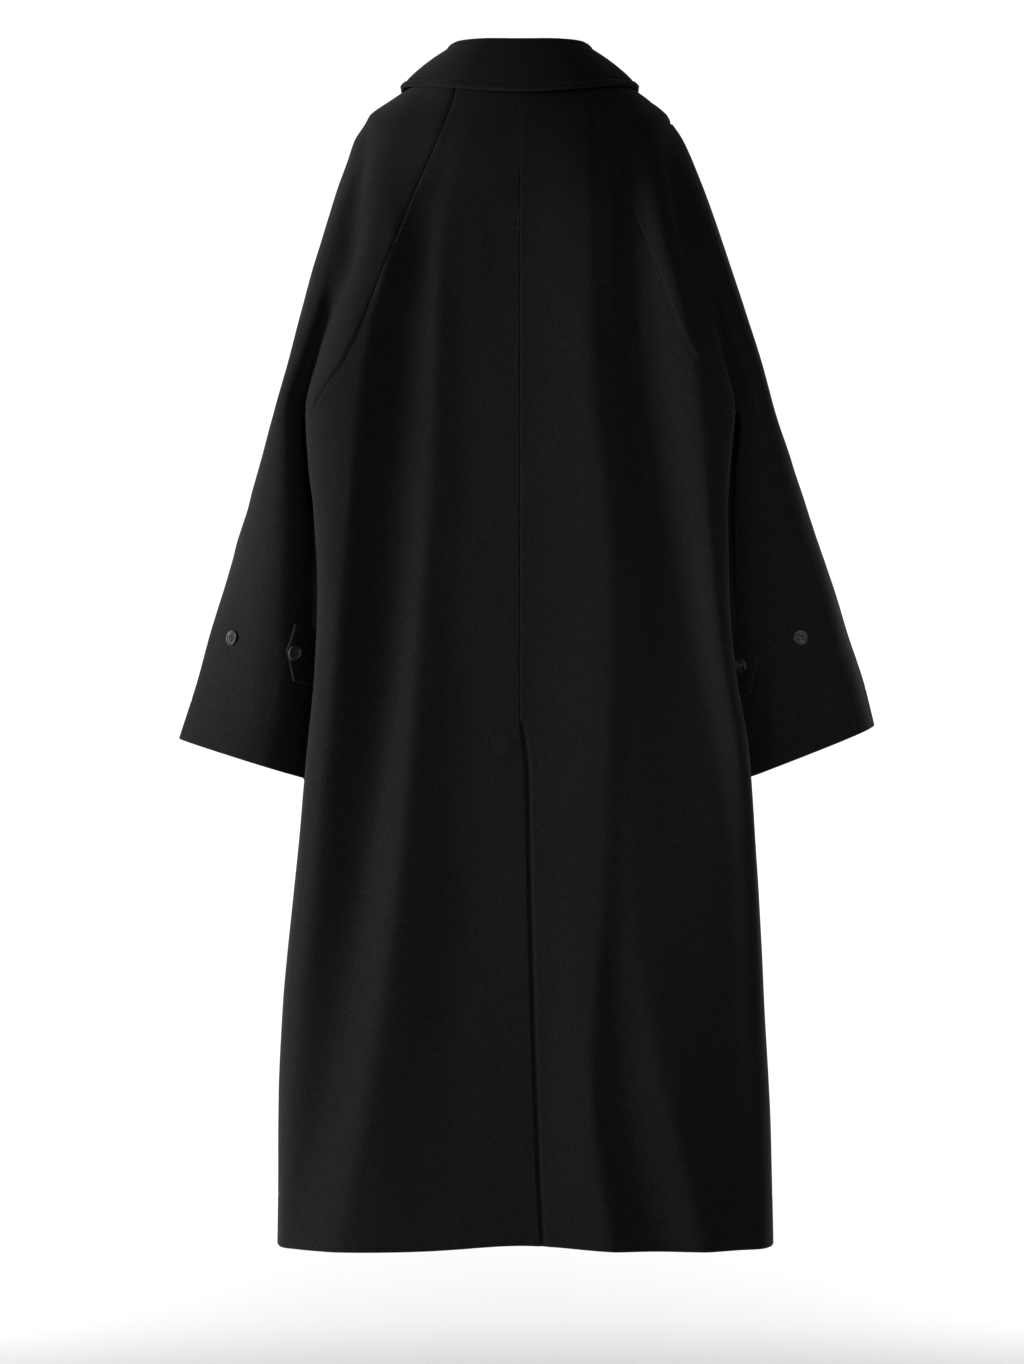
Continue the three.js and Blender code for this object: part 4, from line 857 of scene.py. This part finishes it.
def build_sleeve(shell, all_levels, side, back, front, bottom):
    """A sleeve: the part between the raglan seams in the yoke, and the tube below it."""
    turned = side > 0
    pieces = ["sleeve_" + SIDE_NAMES[side] + part for part in ("_back", "_front")]
    split = len(YOKE_ROWS)
    away = np.array([side * 2 * LAYER_GAP, 0, 0])
    back_end, front_end = shell.add(bottom[[0, -1]] + away)
    yoke = []
    for r, level in enumerate(all_levels[: split + 1]):
        s = level[side]
        outside = shell.add(s["line"].at([
            *graded(s["backCorner"], s["overArm"], COLUMNS["outerBack"])[1:],
            *graded(s["overArm"], s["frontCorner"], COLUMNS["outerFront"])[1:-1],
        ]))
        if r == split:
            yoke.append([*back[r]["rest"][:-1], back_end, *outside, front_end, *front[r]["rest"][-2::-1]])
            continue
        back_lengths = graded(s["backSeam"], s["backCorner"], COLUMNS["backStrip"], EVEN)[1:]
        front_lengths = graded(s["frontCorner"], s["frontSeam"], COLUMNS["frontStrip"], EVEN)[:-1]
        back_strip = shell.add(s["line"].at(back_lengths))
        front_strip = shell.add(s["line"].at(front_lengths))
        yoke.append([back[r]["main"][-1], *back_strip, *outside, *front_strip, front[r]["main"][-1]])
    for upper, lower in zip(yoke, yoke[1:]):
        shell.between_two(pieces, COLUMNS["backStrip"] + COLUMNS["outerBack"], upper, lower, turned)

    last = yoke[split]
    rings = [{
        "outer": last[COLUMNS["backStrip"] : len(last) - COLUMNS["frontStrip"]],
        "inner": [back_end, *shell.add(bottom[1:-1] + away), front_end],
    }]
    cuff = SLEEVES[side]["key"][-1]
    for z in heights_between(UNDERARM, cuff, TUBE_STEP, around_line(cuff + CUFF_HEM))[1:]:
        outer = shell.add(outer_ring(z, side))
        inner = shell.add(inner_ring(z, side)[1:-1])
        rings.append({"outer": outer, "inner": [outer[0], *inner, outer[-1]]})
    for upper, lower in zip(rings, rings[1:]):
        shell.between_two(pieces, COLUMNS["outerBack"], upper["outer"], lower["outer"], turned)
        shell.between_two(pieces, COLUMNS["inner"], upper["inner"], lower["inner"], not turned)


def collar_point(name, angle):
    return np.array([at(COLLAR, name + axis, angle) for axis in "XYZ"])


def collar_profile(side, angle, rest_height):
    """The collar's points at an angle round the neck: up the stand, over the roll and down the fall."""
    roll, edge = collar_point("roll", angle), collar_point("edge", angle)
    tangent = unit(collar_point("roll", angle - 1) - collar_point("roll", angle + 1))
    out = unit(np.array([-tangent[1], tangent[0], 0]))
    up = unit(np.cross(tangent, out))
    up *= 1 if up[2] > 0 else -1
    middle = roll - up * ROLL_RADIUS
    turns = np.radians(ROLL_ANGLES)
    arc = middle + ROLL_RADIUS * (np.outer(np.cos(turns), out) + np.outer(np.sin(turns), up))
    bottom = stand_bottom(angle, arc[0], out)
    length = np.linalg.norm(arc[0] - bottom)
    top = bottom + (arc[0] - bottom) * (1 - (STAND_TOP_BELOW_ROLL - ROLL_RADIUS) / length)
    stand = bottom + np.outer(np.linspace(0, 1, STAND_ROWS), top - bottom)
    run = edge - arc[-1]
    reach = np.linalg.norm(run)
    bulge = unit(np.cross(tangent, run))
    bulge *= 1 if bulge @ out > 0 else -1
    from_edge = np.concatenate([
        np.linspace(reach, FALL_EDGE_ROWS[-1], FALL_MAIN_ROWS + 1)[1:-1], FALL_EDGE_ROWS[::-1]
    ])
    share = 1 - from_edge / reach
    fall = arc[-1] + np.outer(share, run) + np.outer(FALL_BULGE * 4 * share * (1 - share), bulge)
    points = np.concatenate([stand, arc, fall])
    points[:, 0] *= side
    for i in range(len(points) - len(fall), len(points)):
        points[i, 2] = max(points[i, 2], rest_height(points[i]))
    lift = np.concatenate([np.zeros(len(stand) + len(arc)), border_lift(from_edge)])
    return points, lift


def border_lift(from_edge):
    """The raised border along the collar's edge, with the dent of its stitching."""
    raised = BORDER_RISE["height"] * ease((BORDER - from_edge) / BORDER_RISE["fade"])
    rounded = BORDER_RISE["edge"] * ease((BORDER_RISE["fade"] - from_edge) / BORDER_RISE["fade"])
    return raised - rounded + ridge(from_edge, **BORDER_DENT)


def stand_bottom(angle, top, out):
    """The neck side of the stand's bottom edge: its outer side all but touches the neckline of the coat."""
    neck = body_points(NECK, 1, [angle])[0]
    onward = unit(neck - body_points(BELOW_NECK, 1, [angle])[0])
    corner = neck + onward * LAYER_GAP
    run = unit(top - corner)
    inwards = unit(-out + run * (out @ run))
    return corner + inwards * COLLAR_WALL


def rest_height_on(tree):
    """The lowest height at which the collar's cloth lies on the coat, at a point seen from above."""
    def height(point):
        start = Vector((point[0], point[1], RAY_FROM["above"]))
        place, normal, _, _ = tree.ray_cast(start, Vector((0, 0, -1)))
        if place is None:
            return -1e9
        return place.z + (COLLAR_WALL + FALL_CLEARANCE) / max(STEEPEST_REST, abs(normal.z))
    return height


def build_collar(rest_height):
    """The collar, from its right end round the back of the neck to its left end."""
    sheet = Sheet()
    angles = np.linspace(COLLAR_ENDS["back"], COLLAR_ENDS["front"], COLLAR_ENDS["columns"] + 1)
    made = [collar_profile(-1, angle, rest_height) for angle in angles[:0:-1]]
    made += [collar_profile(1, angle, rest_height) for angle in angles]
    rows = [sheet.add(points) for points, _ in made]
    for upper, lower in zip(rows, rows[1:]):
        sheet.between_two(["collar_stand", "collar_fall"], STAND_ROWS - 1, upper, lower, False)
    sheet.settle()
    lifts = np.concatenate([lift for _, lift in made])
    sheet.points += sheet.normals * lifts[:, None]
    sheet.normals = sheet.facing(sheet.points)
    return sheet


def build_tab(side):
    """A cuff tab: it lies on the sleeve from the underarm seam over the back corner to a pointed end."""
    sheet = Sheet()
    rows = []
    shares = np.linspace(-1, 1, TAB_ROWS + 1)
    middle = sum(TAB_HEIGHTS) / 2
    half = (TAB_HEIGHTS[0] - TAB_HEIGHTS[1]) / 2
    lifts = []
    for share in shares:
        z = middle - share * half
        inner = inner_ring(z, side)[: COLUMNS["inner"] + 1]
        corner_length = Line(inner).total
        ring = Line(np.concatenate([inner[::-1], outer_ring(z, side)[1 : TAB_OUTER_COLUMNS + 1]]))
        reach = corner_length + TAB_TIPS[side] * (1 - abs(share))
        lengths = graded(0, reach, TAB_COLUMNS)
        points = ring.at(lengths)
        rows.append(sheet.add(points))
        from_end = reach - lengths
        from_side = half * (1 - abs(share))
        edge = np.minimum(from_end * TAB_SLANT_SHARE, from_side)
        raised = TAB_RISE["height"] * ease((TAB_STITCH - edge) / TAB_RISE["fade"])
        lifts.append(raised + ridge(edge, **TAB_DENT))
    piece = "cuff_tab_" + SIDE_NAMES[side]
    for upper, lower in zip(rows, rows[1:]):
        sheet.between(piece, upper, lower, side > 0)
    sheet.settle()
    sheet.points += sheet.normals * (LAYER_GAP + TAB_WALL + np.concatenate(lifts))[:, None]
    sheet.normals = sheet.facing(sheet.points)
    return sheet


# Looks

def new_material(name):
    """A new material and its main shader."""
    material = bpy.data.materials.new(name)
    material.use_nodes = True
    return material, material.node_tree.nodes["Principled BSDF"]


def set_inputs(material, node, inputs):
    """Sets the inputs of a shader node: a value on the socket itself, or a link from another output."""
    for name, value in inputs.items():
        if isinstance(value, bpy.types.NodeSocket):
            material.node_tree.links.new(value, node.inputs[name])
        else:
            node.inputs[name].default_value = value


def add_node(material, kind, inputs):
    """A new shader node of a kind with its inputs set."""
    node = material.node_tree.nodes.new("ShaderNode" + kind)
    set_inputs(material, node, inputs)
    return node


def two_colours(material, pattern, dark, light):
    """A colour that follows a pattern, between a dark and a light one. Each has a place and a colour."""
    ramp = add_node(material, "ValToRGB", {"Fac": pattern})
    for element, (place, colour) in zip(ramp.color_ramp.elements, (dark, light)):
        element.position = place
        element.color = (*colour, 1)
    return ramp.outputs["Color"]


def wool_material():
    """Black melton: a dense, brushed, matte cloth with a short fuzzy nap."""
    material, shader = new_material("wool")
    place = add_node(material, "TexCoord", {}).outputs["Object"]
    along = add_node(material, "Mapping", {"Vector": place, "Scale": (1, 1, 0.55)}).outputs["Vector"]
    nap = add_node(material, "TexNoise", {
        "Vector": along, "Scale": 560, "Detail": 4, "Roughness": 0.65, "Distortion": 0.6,
    }).outputs["Fac"]
    tufts = add_node(material, "TexNoise", {"Vector": along, "Scale": 240, "Detail": 3}).outputs["Fac"]
    coarse = add_node(material, "Bump", {"Height": tufts, "Strength": 0.2, "Distance": 0.5 * MM})
    fine = add_node(material, "Bump", {
        "Height": nap, "Strength": 0.75, "Distance": 0.6 * MM, "Normal": coarse.outputs["Normal"],
    })
    set_inputs(material, shader, {
        "Base Color": two_colours(
            material, nap, (0.32, (0.0085, 0.0085, 0.0088)), (0.72, (0.0205, 0.0205, 0.021))
        ),
        "Roughness": 0.95,
        "Specular IOR Level": 0.12,
        "Sheen Weight": 0.08,
        "Sheen Roughness": 0.45,
        "Sheen Tint": (0.9, 0.93, 1.0, 1),
        "Normal": fine.outputs["Normal"],
    })
    return material


def button_material():
    """Near-black horn-like plastic with a soft shine."""
    material, shader = new_material("button")
    place = add_node(material, "TexCoord", {}).outputs["Object"]
    cloud = add_node(material, "TexNoise", {"Vector": place, "Scale": 180, "Detail": 5}).outputs["Fac"]
    gloss = add_node(material, "MapRange", {"Value": cloud, "To Min": 0.18, "To Max": 0.32})
    bump = add_node(material, "Bump", {"Height": cloud, "Strength": 0.15, "Distance": 0.1 * MM})
    set_inputs(material, shader, {
        "Base Color": two_colours(
            material, cloud, (0.35, (0.030, 0.029, 0.029)), (0.75, (0.105, 0.1, 0.098))
        ),
        "Roughness": gloss.outputs["Result"],
        "Normal": bump.outputs["Normal"],
    })
    return material


def plain_material(name, colour, roughness):
    material, shader = new_material(name)
    set_inputs(material, shader, {"Base Color": (*colour, 1), "Roughness": roughness})
    return material


def mesh_object(name, vertices, faces, material):
    mesh = bpy.data.meshes.new(name)
    mesh.from_pydata((np.asarray(vertices) * MM).tolist(), [], faces)
    mesh.polygons.foreach_set("use_smooth", [True] * len(mesh.polygons))
    mesh.materials.append(material)
    mesh.update()
    made = bpy.data.objects.new(name, mesh)
    bpy.context.scene.collection.objects.link(made)
    return made


# How far the hem rides up beside the vent, over what width, and how far up the back that fades
HEM_RISE = {"height": 6, "width": 70, "fade": 160}

# Creases that the worn cloth shows besides its large folds. They run between two places seen from behind
# or from the front, bow to one side, are this wide, and stand out, or in where their lift is below 0. Their
# ends fade out over this share of their length.
CREASE_FADE = 0.3
CREASES = {
    # x0, z0, x1, z1, bow, width, lift
    ("body", "back"): [
        [-60, -200, -78, -420, -2, 12, 1.0],
        [72, -40, 104, -260, 0, 11, -2.2],
        [40, -120, 52, -300, 3, 14, 0.7],
        [196, -420, 186, -600, 2, 12, 1.0],
        [-6, -648, 38, -682, 0, 3.5, -1.8],
        [0, -664, 42, -698, 0, 8, 1.3],
    ],
    ("body", "front"): [
        [70, -170, 88, -420, 4, 14, 1.6],
        [-72, -180, -90, -430, -4, 14, 1.6],
        [30, -330, 44, -560, 3, 12, -1.1],
        [-40, -360, -52, -600, -3, 13, -1.2],
        [96, -700, 110, -1040, 4, 18, 1.5],
        [-104, -640, -118, -1010, -4, 18, 1.6],
    ],
    ("sleeve_left", "back"): [
        [160, -24, 176, -215, 0, 10, -5.5],
        [166, -150, 222, -340, 4, 9, -3.6],
        [136, -24, 154, -215, 0, 9, 2.5],
        [150, -165, 192, -335, 4, 9, 1.6],
        [110, -24, 124, -170, 0, 9, -2.5],
        [262, -470, 276, -640, 3, 12, 1.2],
        [246, -560, 262, -690, 2, 9, -1.2],
        [262, -350, 296, -470, -5, 12, -1.2],
    ],
    ("sleeve_left", "front"): [
        [236, -400, 300, -440, 6, 10, -1.8],
        [240, -430, 306, -476, 6, 11, 1.6],
        [246, -520, 316, -560, 5, 11, -1.4],
    ],
    ("sleeve_right", "back"): [
        [-150, -70, -177, -225, 0, 7, -4.5],
        [-168, -170, -216, -340, -4, 8, -4.5],
        [-124, -24, -149, -216, 2, 12, 4.0],
        [-146, -176, -186, -336, -3, 12, 2.6],
        [-252, -585, -262, -694, -2, 9, 2.2],
        [-262, -572, -290, -700, 3, 10, -2.4],
        [-322, -560, -338, -610, 2, 9, -0.9],
        [-268, -360, -306, -500, 6, 12, -1.3],
        [-250, -400, -268, -540, 4, 10, 1.3],
    ],
    ("sleeve_right", "front"): [
        [-240, -404, -304, -446, -6, 10, -1.8],
        [-244, -436, -312, -480, -6, 11, 1.6],
        [-250, -524, -322, -566, -5, 11, -1.4],
    ],
}
# The pieces of each group, by how their names start
CREASE_GROUPS = {"body": ("back", "front"), "sleeve_left": "sleeve_left", "sleeve_right": "sleeve_right"}


def crease_lift(rows, x, z):
    """How far a group's creases push the cloth out at x and z."""
    total = np.zeros(len(x))
    for x0, z0, x1, z1, bow, width, lift in rows:
        run = np.array([x1 - x0, z1 - z0], float)
        length = np.linalg.norm(run)
        run /= length
        along = ((x - x0) * run[0] + (z - z0) * run[1]) / length
        within = np.clip(along, 0, 1)
        across = (x - x0) * run[1] - (z - z0) * run[0] - 4 * bow * within * (1 - within)
        ends = ease(along / CREASE_FADE) * ease((1 - along) / CREASE_FADE)
        total += lift * ends * np.exp(-((across / width) ** 2))
    return total


def pressed_line(distance):
    """The faint dent of a hem's stitching at a distance above its line, with the turned cloth below it."""
    below = ease((PRESSED_RISE["below"] + distance) / PRESSED_RISE["below"])
    above = ease(1 - distance / PRESSED_RISE["above"])
    return ridge(distance, **PRESSED_DENT) + PRESSED_RISE["height"] * below * above


def seam_lift(distance):
    """The cloth beside a seam stands a little proud over its allowances."""
    return ridge(distance, **SEAM_RIDGE) + ridge(distance, **SEAM_DENT)


def seam_strength(pieces, z):
    own = OVER_ARM_STRENGTH
    if pieces == {"sleeve_left_back", "sleeve_left_front"}:
        return own["left"]
    if pieces == {"sleeve_right_back", "sleeve_right_front"}:
        return own["right"] + (SEAM_STRENGTH - own["right"]) * ease((z - own["below"]) / own["fade"])
    return SEAM_STRENGTH


def seam_relief(sheet):
    """How far each point is raised or sunk by the nearest seam."""
    owners = {}
    for piece in sheet.cells:
        for a, b in sheet.rim(piece):
            owners.setdefault((min(a, b), max(a, b)), set()).add(piece)
    places = []
    strengths = []
    for (a, b), pieces in owners.items():
        if len(pieces) < 2:
            continue
        start, end = sheet.points[a], sheet.points[b]
        steps = max(1, int(np.linalg.norm(end - start)))
        places.extend(start + (end - start) * k / steps for k in range(steps))
        strengths.extend([seam_strength(pieces, start[2])] * steps)
    tree = KDTree(len(places))
    for i, place in enumerate(places):
        tree.insert(Vector(place), i)
    tree.balance()
    found = [tree.find(Vector(point))[1:] for point in sheet.points]
    strength = np.array([strengths[i] for i, _ in found])
    return strength * seam_lift(np.array([distance for _, distance in found]))


def undulation(point):
    """Small soft waves of the cloth."""
    p = Vector(point)
    total = 0
    for wave in WAVES:
        across = wave["across"]
        place = Vector((p.x / across + wave["shift"], p.y / across, p.z / wave["down"]))
        total += wave["height"] * noise.noise(place)
    return total


def detail_shell(shell):
    """Moves the shell's points out and in by its seams, pressed lines, creases and small waves."""
    lifts = seam_relief(shell)
    lifts += np.array([undulation(point) for point in shell.points])
    x, y, z = shell.points.T
    facing_back = ease(0.5 + FACING_SHARPNESS * shell.normals[:, 1])
    for group, starts in CREASE_GROUPS.items():
        member = np.zeros(len(x), bool)
        for piece, cells in shell.cells.items():
            if piece.startswith(starts):
                member[np.unique(cells)] = True
        lifts += member * facing_back * crease_lift(CREASES[(group, "back")], x, z)
        lifts += member * (1 - facing_back) * crease_lift(CREASES[(group, "front")], x, z)
        if group == "body":
            lifts += member * (z < HEM_LINE + PRESSED_REACH) * pressed_line(z - HEM_LINE)
        else:
            side = 1 if group == "sleeve_left" else -1
            lifts += member * (z < UNDERARM) * pressed_line(cuff_distance(shell.points, side))
    shell.points += shell.normals * lifts[:, None]
    raised = ease((HEM + HEM_RISE["fade"] - z) / HEM_RISE["fade"]) * np.exp(-((x / HEM_RISE["width"]) ** 2))
    shell.points[:, 2] += HEM_RISE["height"] * raised * facing_back
    shell.normals = shell.facing(shell.points)


def cuff_distance(points, side):
    """How far above the cuff's stitched line points lie, on the slanting rings of a sleeve."""
    cuff = SLEEVES[side]["key"][-1]
    ring = sleeve_ellipse(cuff + CUFF_HEM, side)
    return points[:, 2] - (cuff + CUFF_HEM - lean_drop(ring, side * points[:, 0]))


def button_height(radius):
    """The height of a button's face at a radius, without its holes."""
    b = BUTTON
    inside = ease(b["radius"] - b["rim"] - radius + 0.5)
    rounded = max(0, radius - (b["radius"] - b["round"])) / b["round"]
    return b["thickness"] - b["dish"] * inside - b["round"] * (1 - math.sqrt(max(0, 1 - rounded**2)))


def build_button(name, place, facing, material):
    """A round button with a raised rim, a dished middle and four holes."""
    b = BUTTON
    around = b["around"]
    turns = np.linspace(0, 2 * math.pi, around + 1)[:-1]
    dish = b["radius"] - b["rim"]
    radii = [*np.linspace(0, dish - 1, b["rows"] + 1)[1:], dish - 0.5, dish]
    radii += [b["radius"] - inset for inset in BUTTON_EDGE_ROWS]
    profile = [(radius, button_height(radius)) for radius in radii]
    profile += [(b["radius"], b["side"]), (b["back"] * b["radius"], 0)]
    rows = [
        np.stack([radius * np.cos(turns), radius * np.sin(turns), np.full(around, height)], axis=-1)
        for radius, height in profile
    ]
    for ring in rows[: len(radii)]:
        for u, v in ((1, 1), (1, -1), (-1, 1), (-1, -1)):
            far = np.hypot(ring[:, 0] - u * b["spread"], ring[:, 1] - v * b["spread"])
            ring[:, 2] -= b["depth"] * ease((b["hole"] - far) / b["slope"])
    vertices = np.concatenate([[[0, 0, b["thickness"] - b["dish"]]], *rows, [[0, 0, 0]]])
    faces = []
    outermost = 1 + (len(rows) - 1) * around
    for k in range(around):
        following = (k + 1) % around
        faces.append([0, 1 + k, 1 + following])
        for a in range(1, outermost, around):
            c = a + around
            faces.append([a + k, c + k, c + following, a + following])
        faces.append([outermost + k, len(vertices) - 1, outermost + following])
    turn = Vector((0, 0, 1)).rotation_difference(Vector(facing)).to_matrix()
    return mesh_object(name, vertices @ np.array(turn).T + place, faces, material)


def seat(tree, start, direction):
    """Where a straight look at a piece meets it, and the way that the piece faces there."""
    place, normal, _, _ = tree.ray_cast(Vector(start), Vector(direction))
    if normal.dot(Vector(direction)) > 0:
        normal = -normal
    return np.array(place), np.array(normal)


def add_cloth(sheet, piece, wall, wool):
    """A piece of a sheet of cloth, in place of the solid of its name."""
    vertices, faces = sheet.wall(piece, wall)
    made = mesh_object("cloth_" + piece, vertices, faces, wool)
    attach(made, "root")
    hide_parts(piece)


def build_coat(wool, horn):
    shell = Sheet()
    all_levels = levels()
    for side in SIDE_NAMES:
        build_side(shell, all_levels, side)
    shell.settle()
    collar = build_collar(rest_height_on(shell.tree()))
    detail_shell(shell)
    for piece in shell.cells:
        add_cloth(shell, piece, WALL, wool)
    for piece in collar.cells:
        add_cloth(collar, piece, COLLAR_WALL, wool)
    tree = shell.tree()
    for side in SIDE_NAMES:
        build_fastening(tree, side, wool, horn)


def build_fastening(tree, side, wool, horn):
    """A sleeve's tab with its button, and the button beside it on the sleeve."""
    tab = build_tab(side)
    add_cloth(tab, "cuff_tab_" + SIDE_NAMES[side], TAB_WALL, wool)
    x, z = SLEEVE_BUTTONS[side]
    add_button("sleeve_button_" + SIDE_NAMES[side], seat(tree, (x, RAY_FROM["behind"], z), (0, -1, 0)), horn)
    corner = outer_ring(sum(TAB_HEIGHTS) / 2, side)[0]
    i = int(np.argmin(np.linalg.norm(tab.points - corner, axis=1)))
    on_tab = seat(tab.tree(), tab.points[i] + tab.normals[i] * RAY_FROM["close"], -tab.normals[i])
    add_button("tab_button_" + SIDE_NAMES[side], on_tab, horn)


def add_button(name, seated, material):
    made = build_button("shown_" + name, *seated, material)
    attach(made, "root")
    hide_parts(name)


# Stage, light and camera. Sizes here are in metres.
FLOOR = -1.48
CAMERA = {"place": (0.008, 5.0, -0.61), "lens": 128.1, "sensor": 36}


def build_stage():
    """A sweep of pale paper: the floor, a bend behind the coat and an upright back."""
    pale = plain_material("pale paper", (0.86, 0.86, 0.86), 0.9)
    front, bend, back, wide, top = 3.0, -1.6, -3.2, 5.0, 3.0
    steps = 16
    profile = [(front, FLOOR), (bend, FLOOR)]
    radius = bend - back
    for k in range(1, steps + 1):
        turn = math.pi / 2 * k / steps
        profile.append((bend - radius * math.sin(turn), FLOOR + radius * (1 - math.cos(turn))))
    profile.append((back, top))
    vertices = [(x * 1000, y * 1000, z * 1000) for y, z in profile for x in (-wide, wide)]
    faces = [[2 * k, 2 * k + 1, 2 * k + 3, 2 * k + 2] for k in range(len(profile) - 1)]
    sweep = mesh_object("paper sweep", vertices, faces, pale)


def add_area(name, place, target, size, power, spread=180):
    light = bpy.data.lights.new(name, "AREA")
    light.shape = "RECTANGLE"
    light.size, light.size_y = size
    light.energy = power
    light.spread = math.radians(spread)
    made = bpy.data.objects.new(name, light)
    made.location = place
    made.rotation_euler = (Vector(target) - Vector(place)).to_track_quat("-Z", "Y").to_euler()
    bpy.context.scene.collection.objects.link(made)
    return made


def build_lights():
    add_area("key", (1.75, 0.55, -0.45), (0.1, 0.1, -0.6), (0.5, 1.5), 30)
    add_area("window", (1.1, 4.2, 0.3), (-0.1, 0.1, -0.6), (1.2, 1.6), 10)
    add_area("fill", (-1.1, 4.0, 0.9), (-0.1, 0, -0.6), (1.4, 1.8), 13)
    add_area("sleeve", (-0.62, 2.6, -0.35), (-0.34, 0.05, -0.62), (0.3, 0.7), 0.17, spread=20)
    add_area("backdrop left", (1.45, -1.4, 0.1), (0.85, -3.2, -0.5), (0.8, 2.0), 40)
    add_area("backdrop right", (-1.45, -1.4, 0.1), (-0.85, -3.2, -0.5), (0.8, 2.0), 40)
    world = bpy.data.worlds.new("studio")
    world.use_nodes = True
    background = world.node_tree.nodes["Background"]
    background.inputs["Color"].default_value = (0.9, 0.93, 1.0, 1)
    background.inputs["Strength"].default_value = 0.03
    bpy.context.scene.world = world


def build_camera():
    camera = bpy.data.cameras.new("camera")
    camera.lens = CAMERA["lens"]
    camera.sensor_width = CAMERA["sensor"]
    made = bpy.data.objects.new("camera", camera)
    made.location = CAMERA["place"]
    made.rotation_euler = (math.radians(90), 0, math.radians(180))
    bpy.context.scene.collection.objects.link(made)
    bpy.context.scene.camera = made
    bpy.context.scene.view_settings.view_transform = "Standard"


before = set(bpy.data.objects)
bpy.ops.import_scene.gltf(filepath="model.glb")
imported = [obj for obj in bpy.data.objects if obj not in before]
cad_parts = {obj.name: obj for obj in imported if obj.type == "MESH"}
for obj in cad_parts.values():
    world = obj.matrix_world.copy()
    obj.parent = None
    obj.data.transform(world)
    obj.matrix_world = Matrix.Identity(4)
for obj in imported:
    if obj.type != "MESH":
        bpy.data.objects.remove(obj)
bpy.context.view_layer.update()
build_camera()
build_stage()
build_lights()
build_coat(wool_material(), button_material())
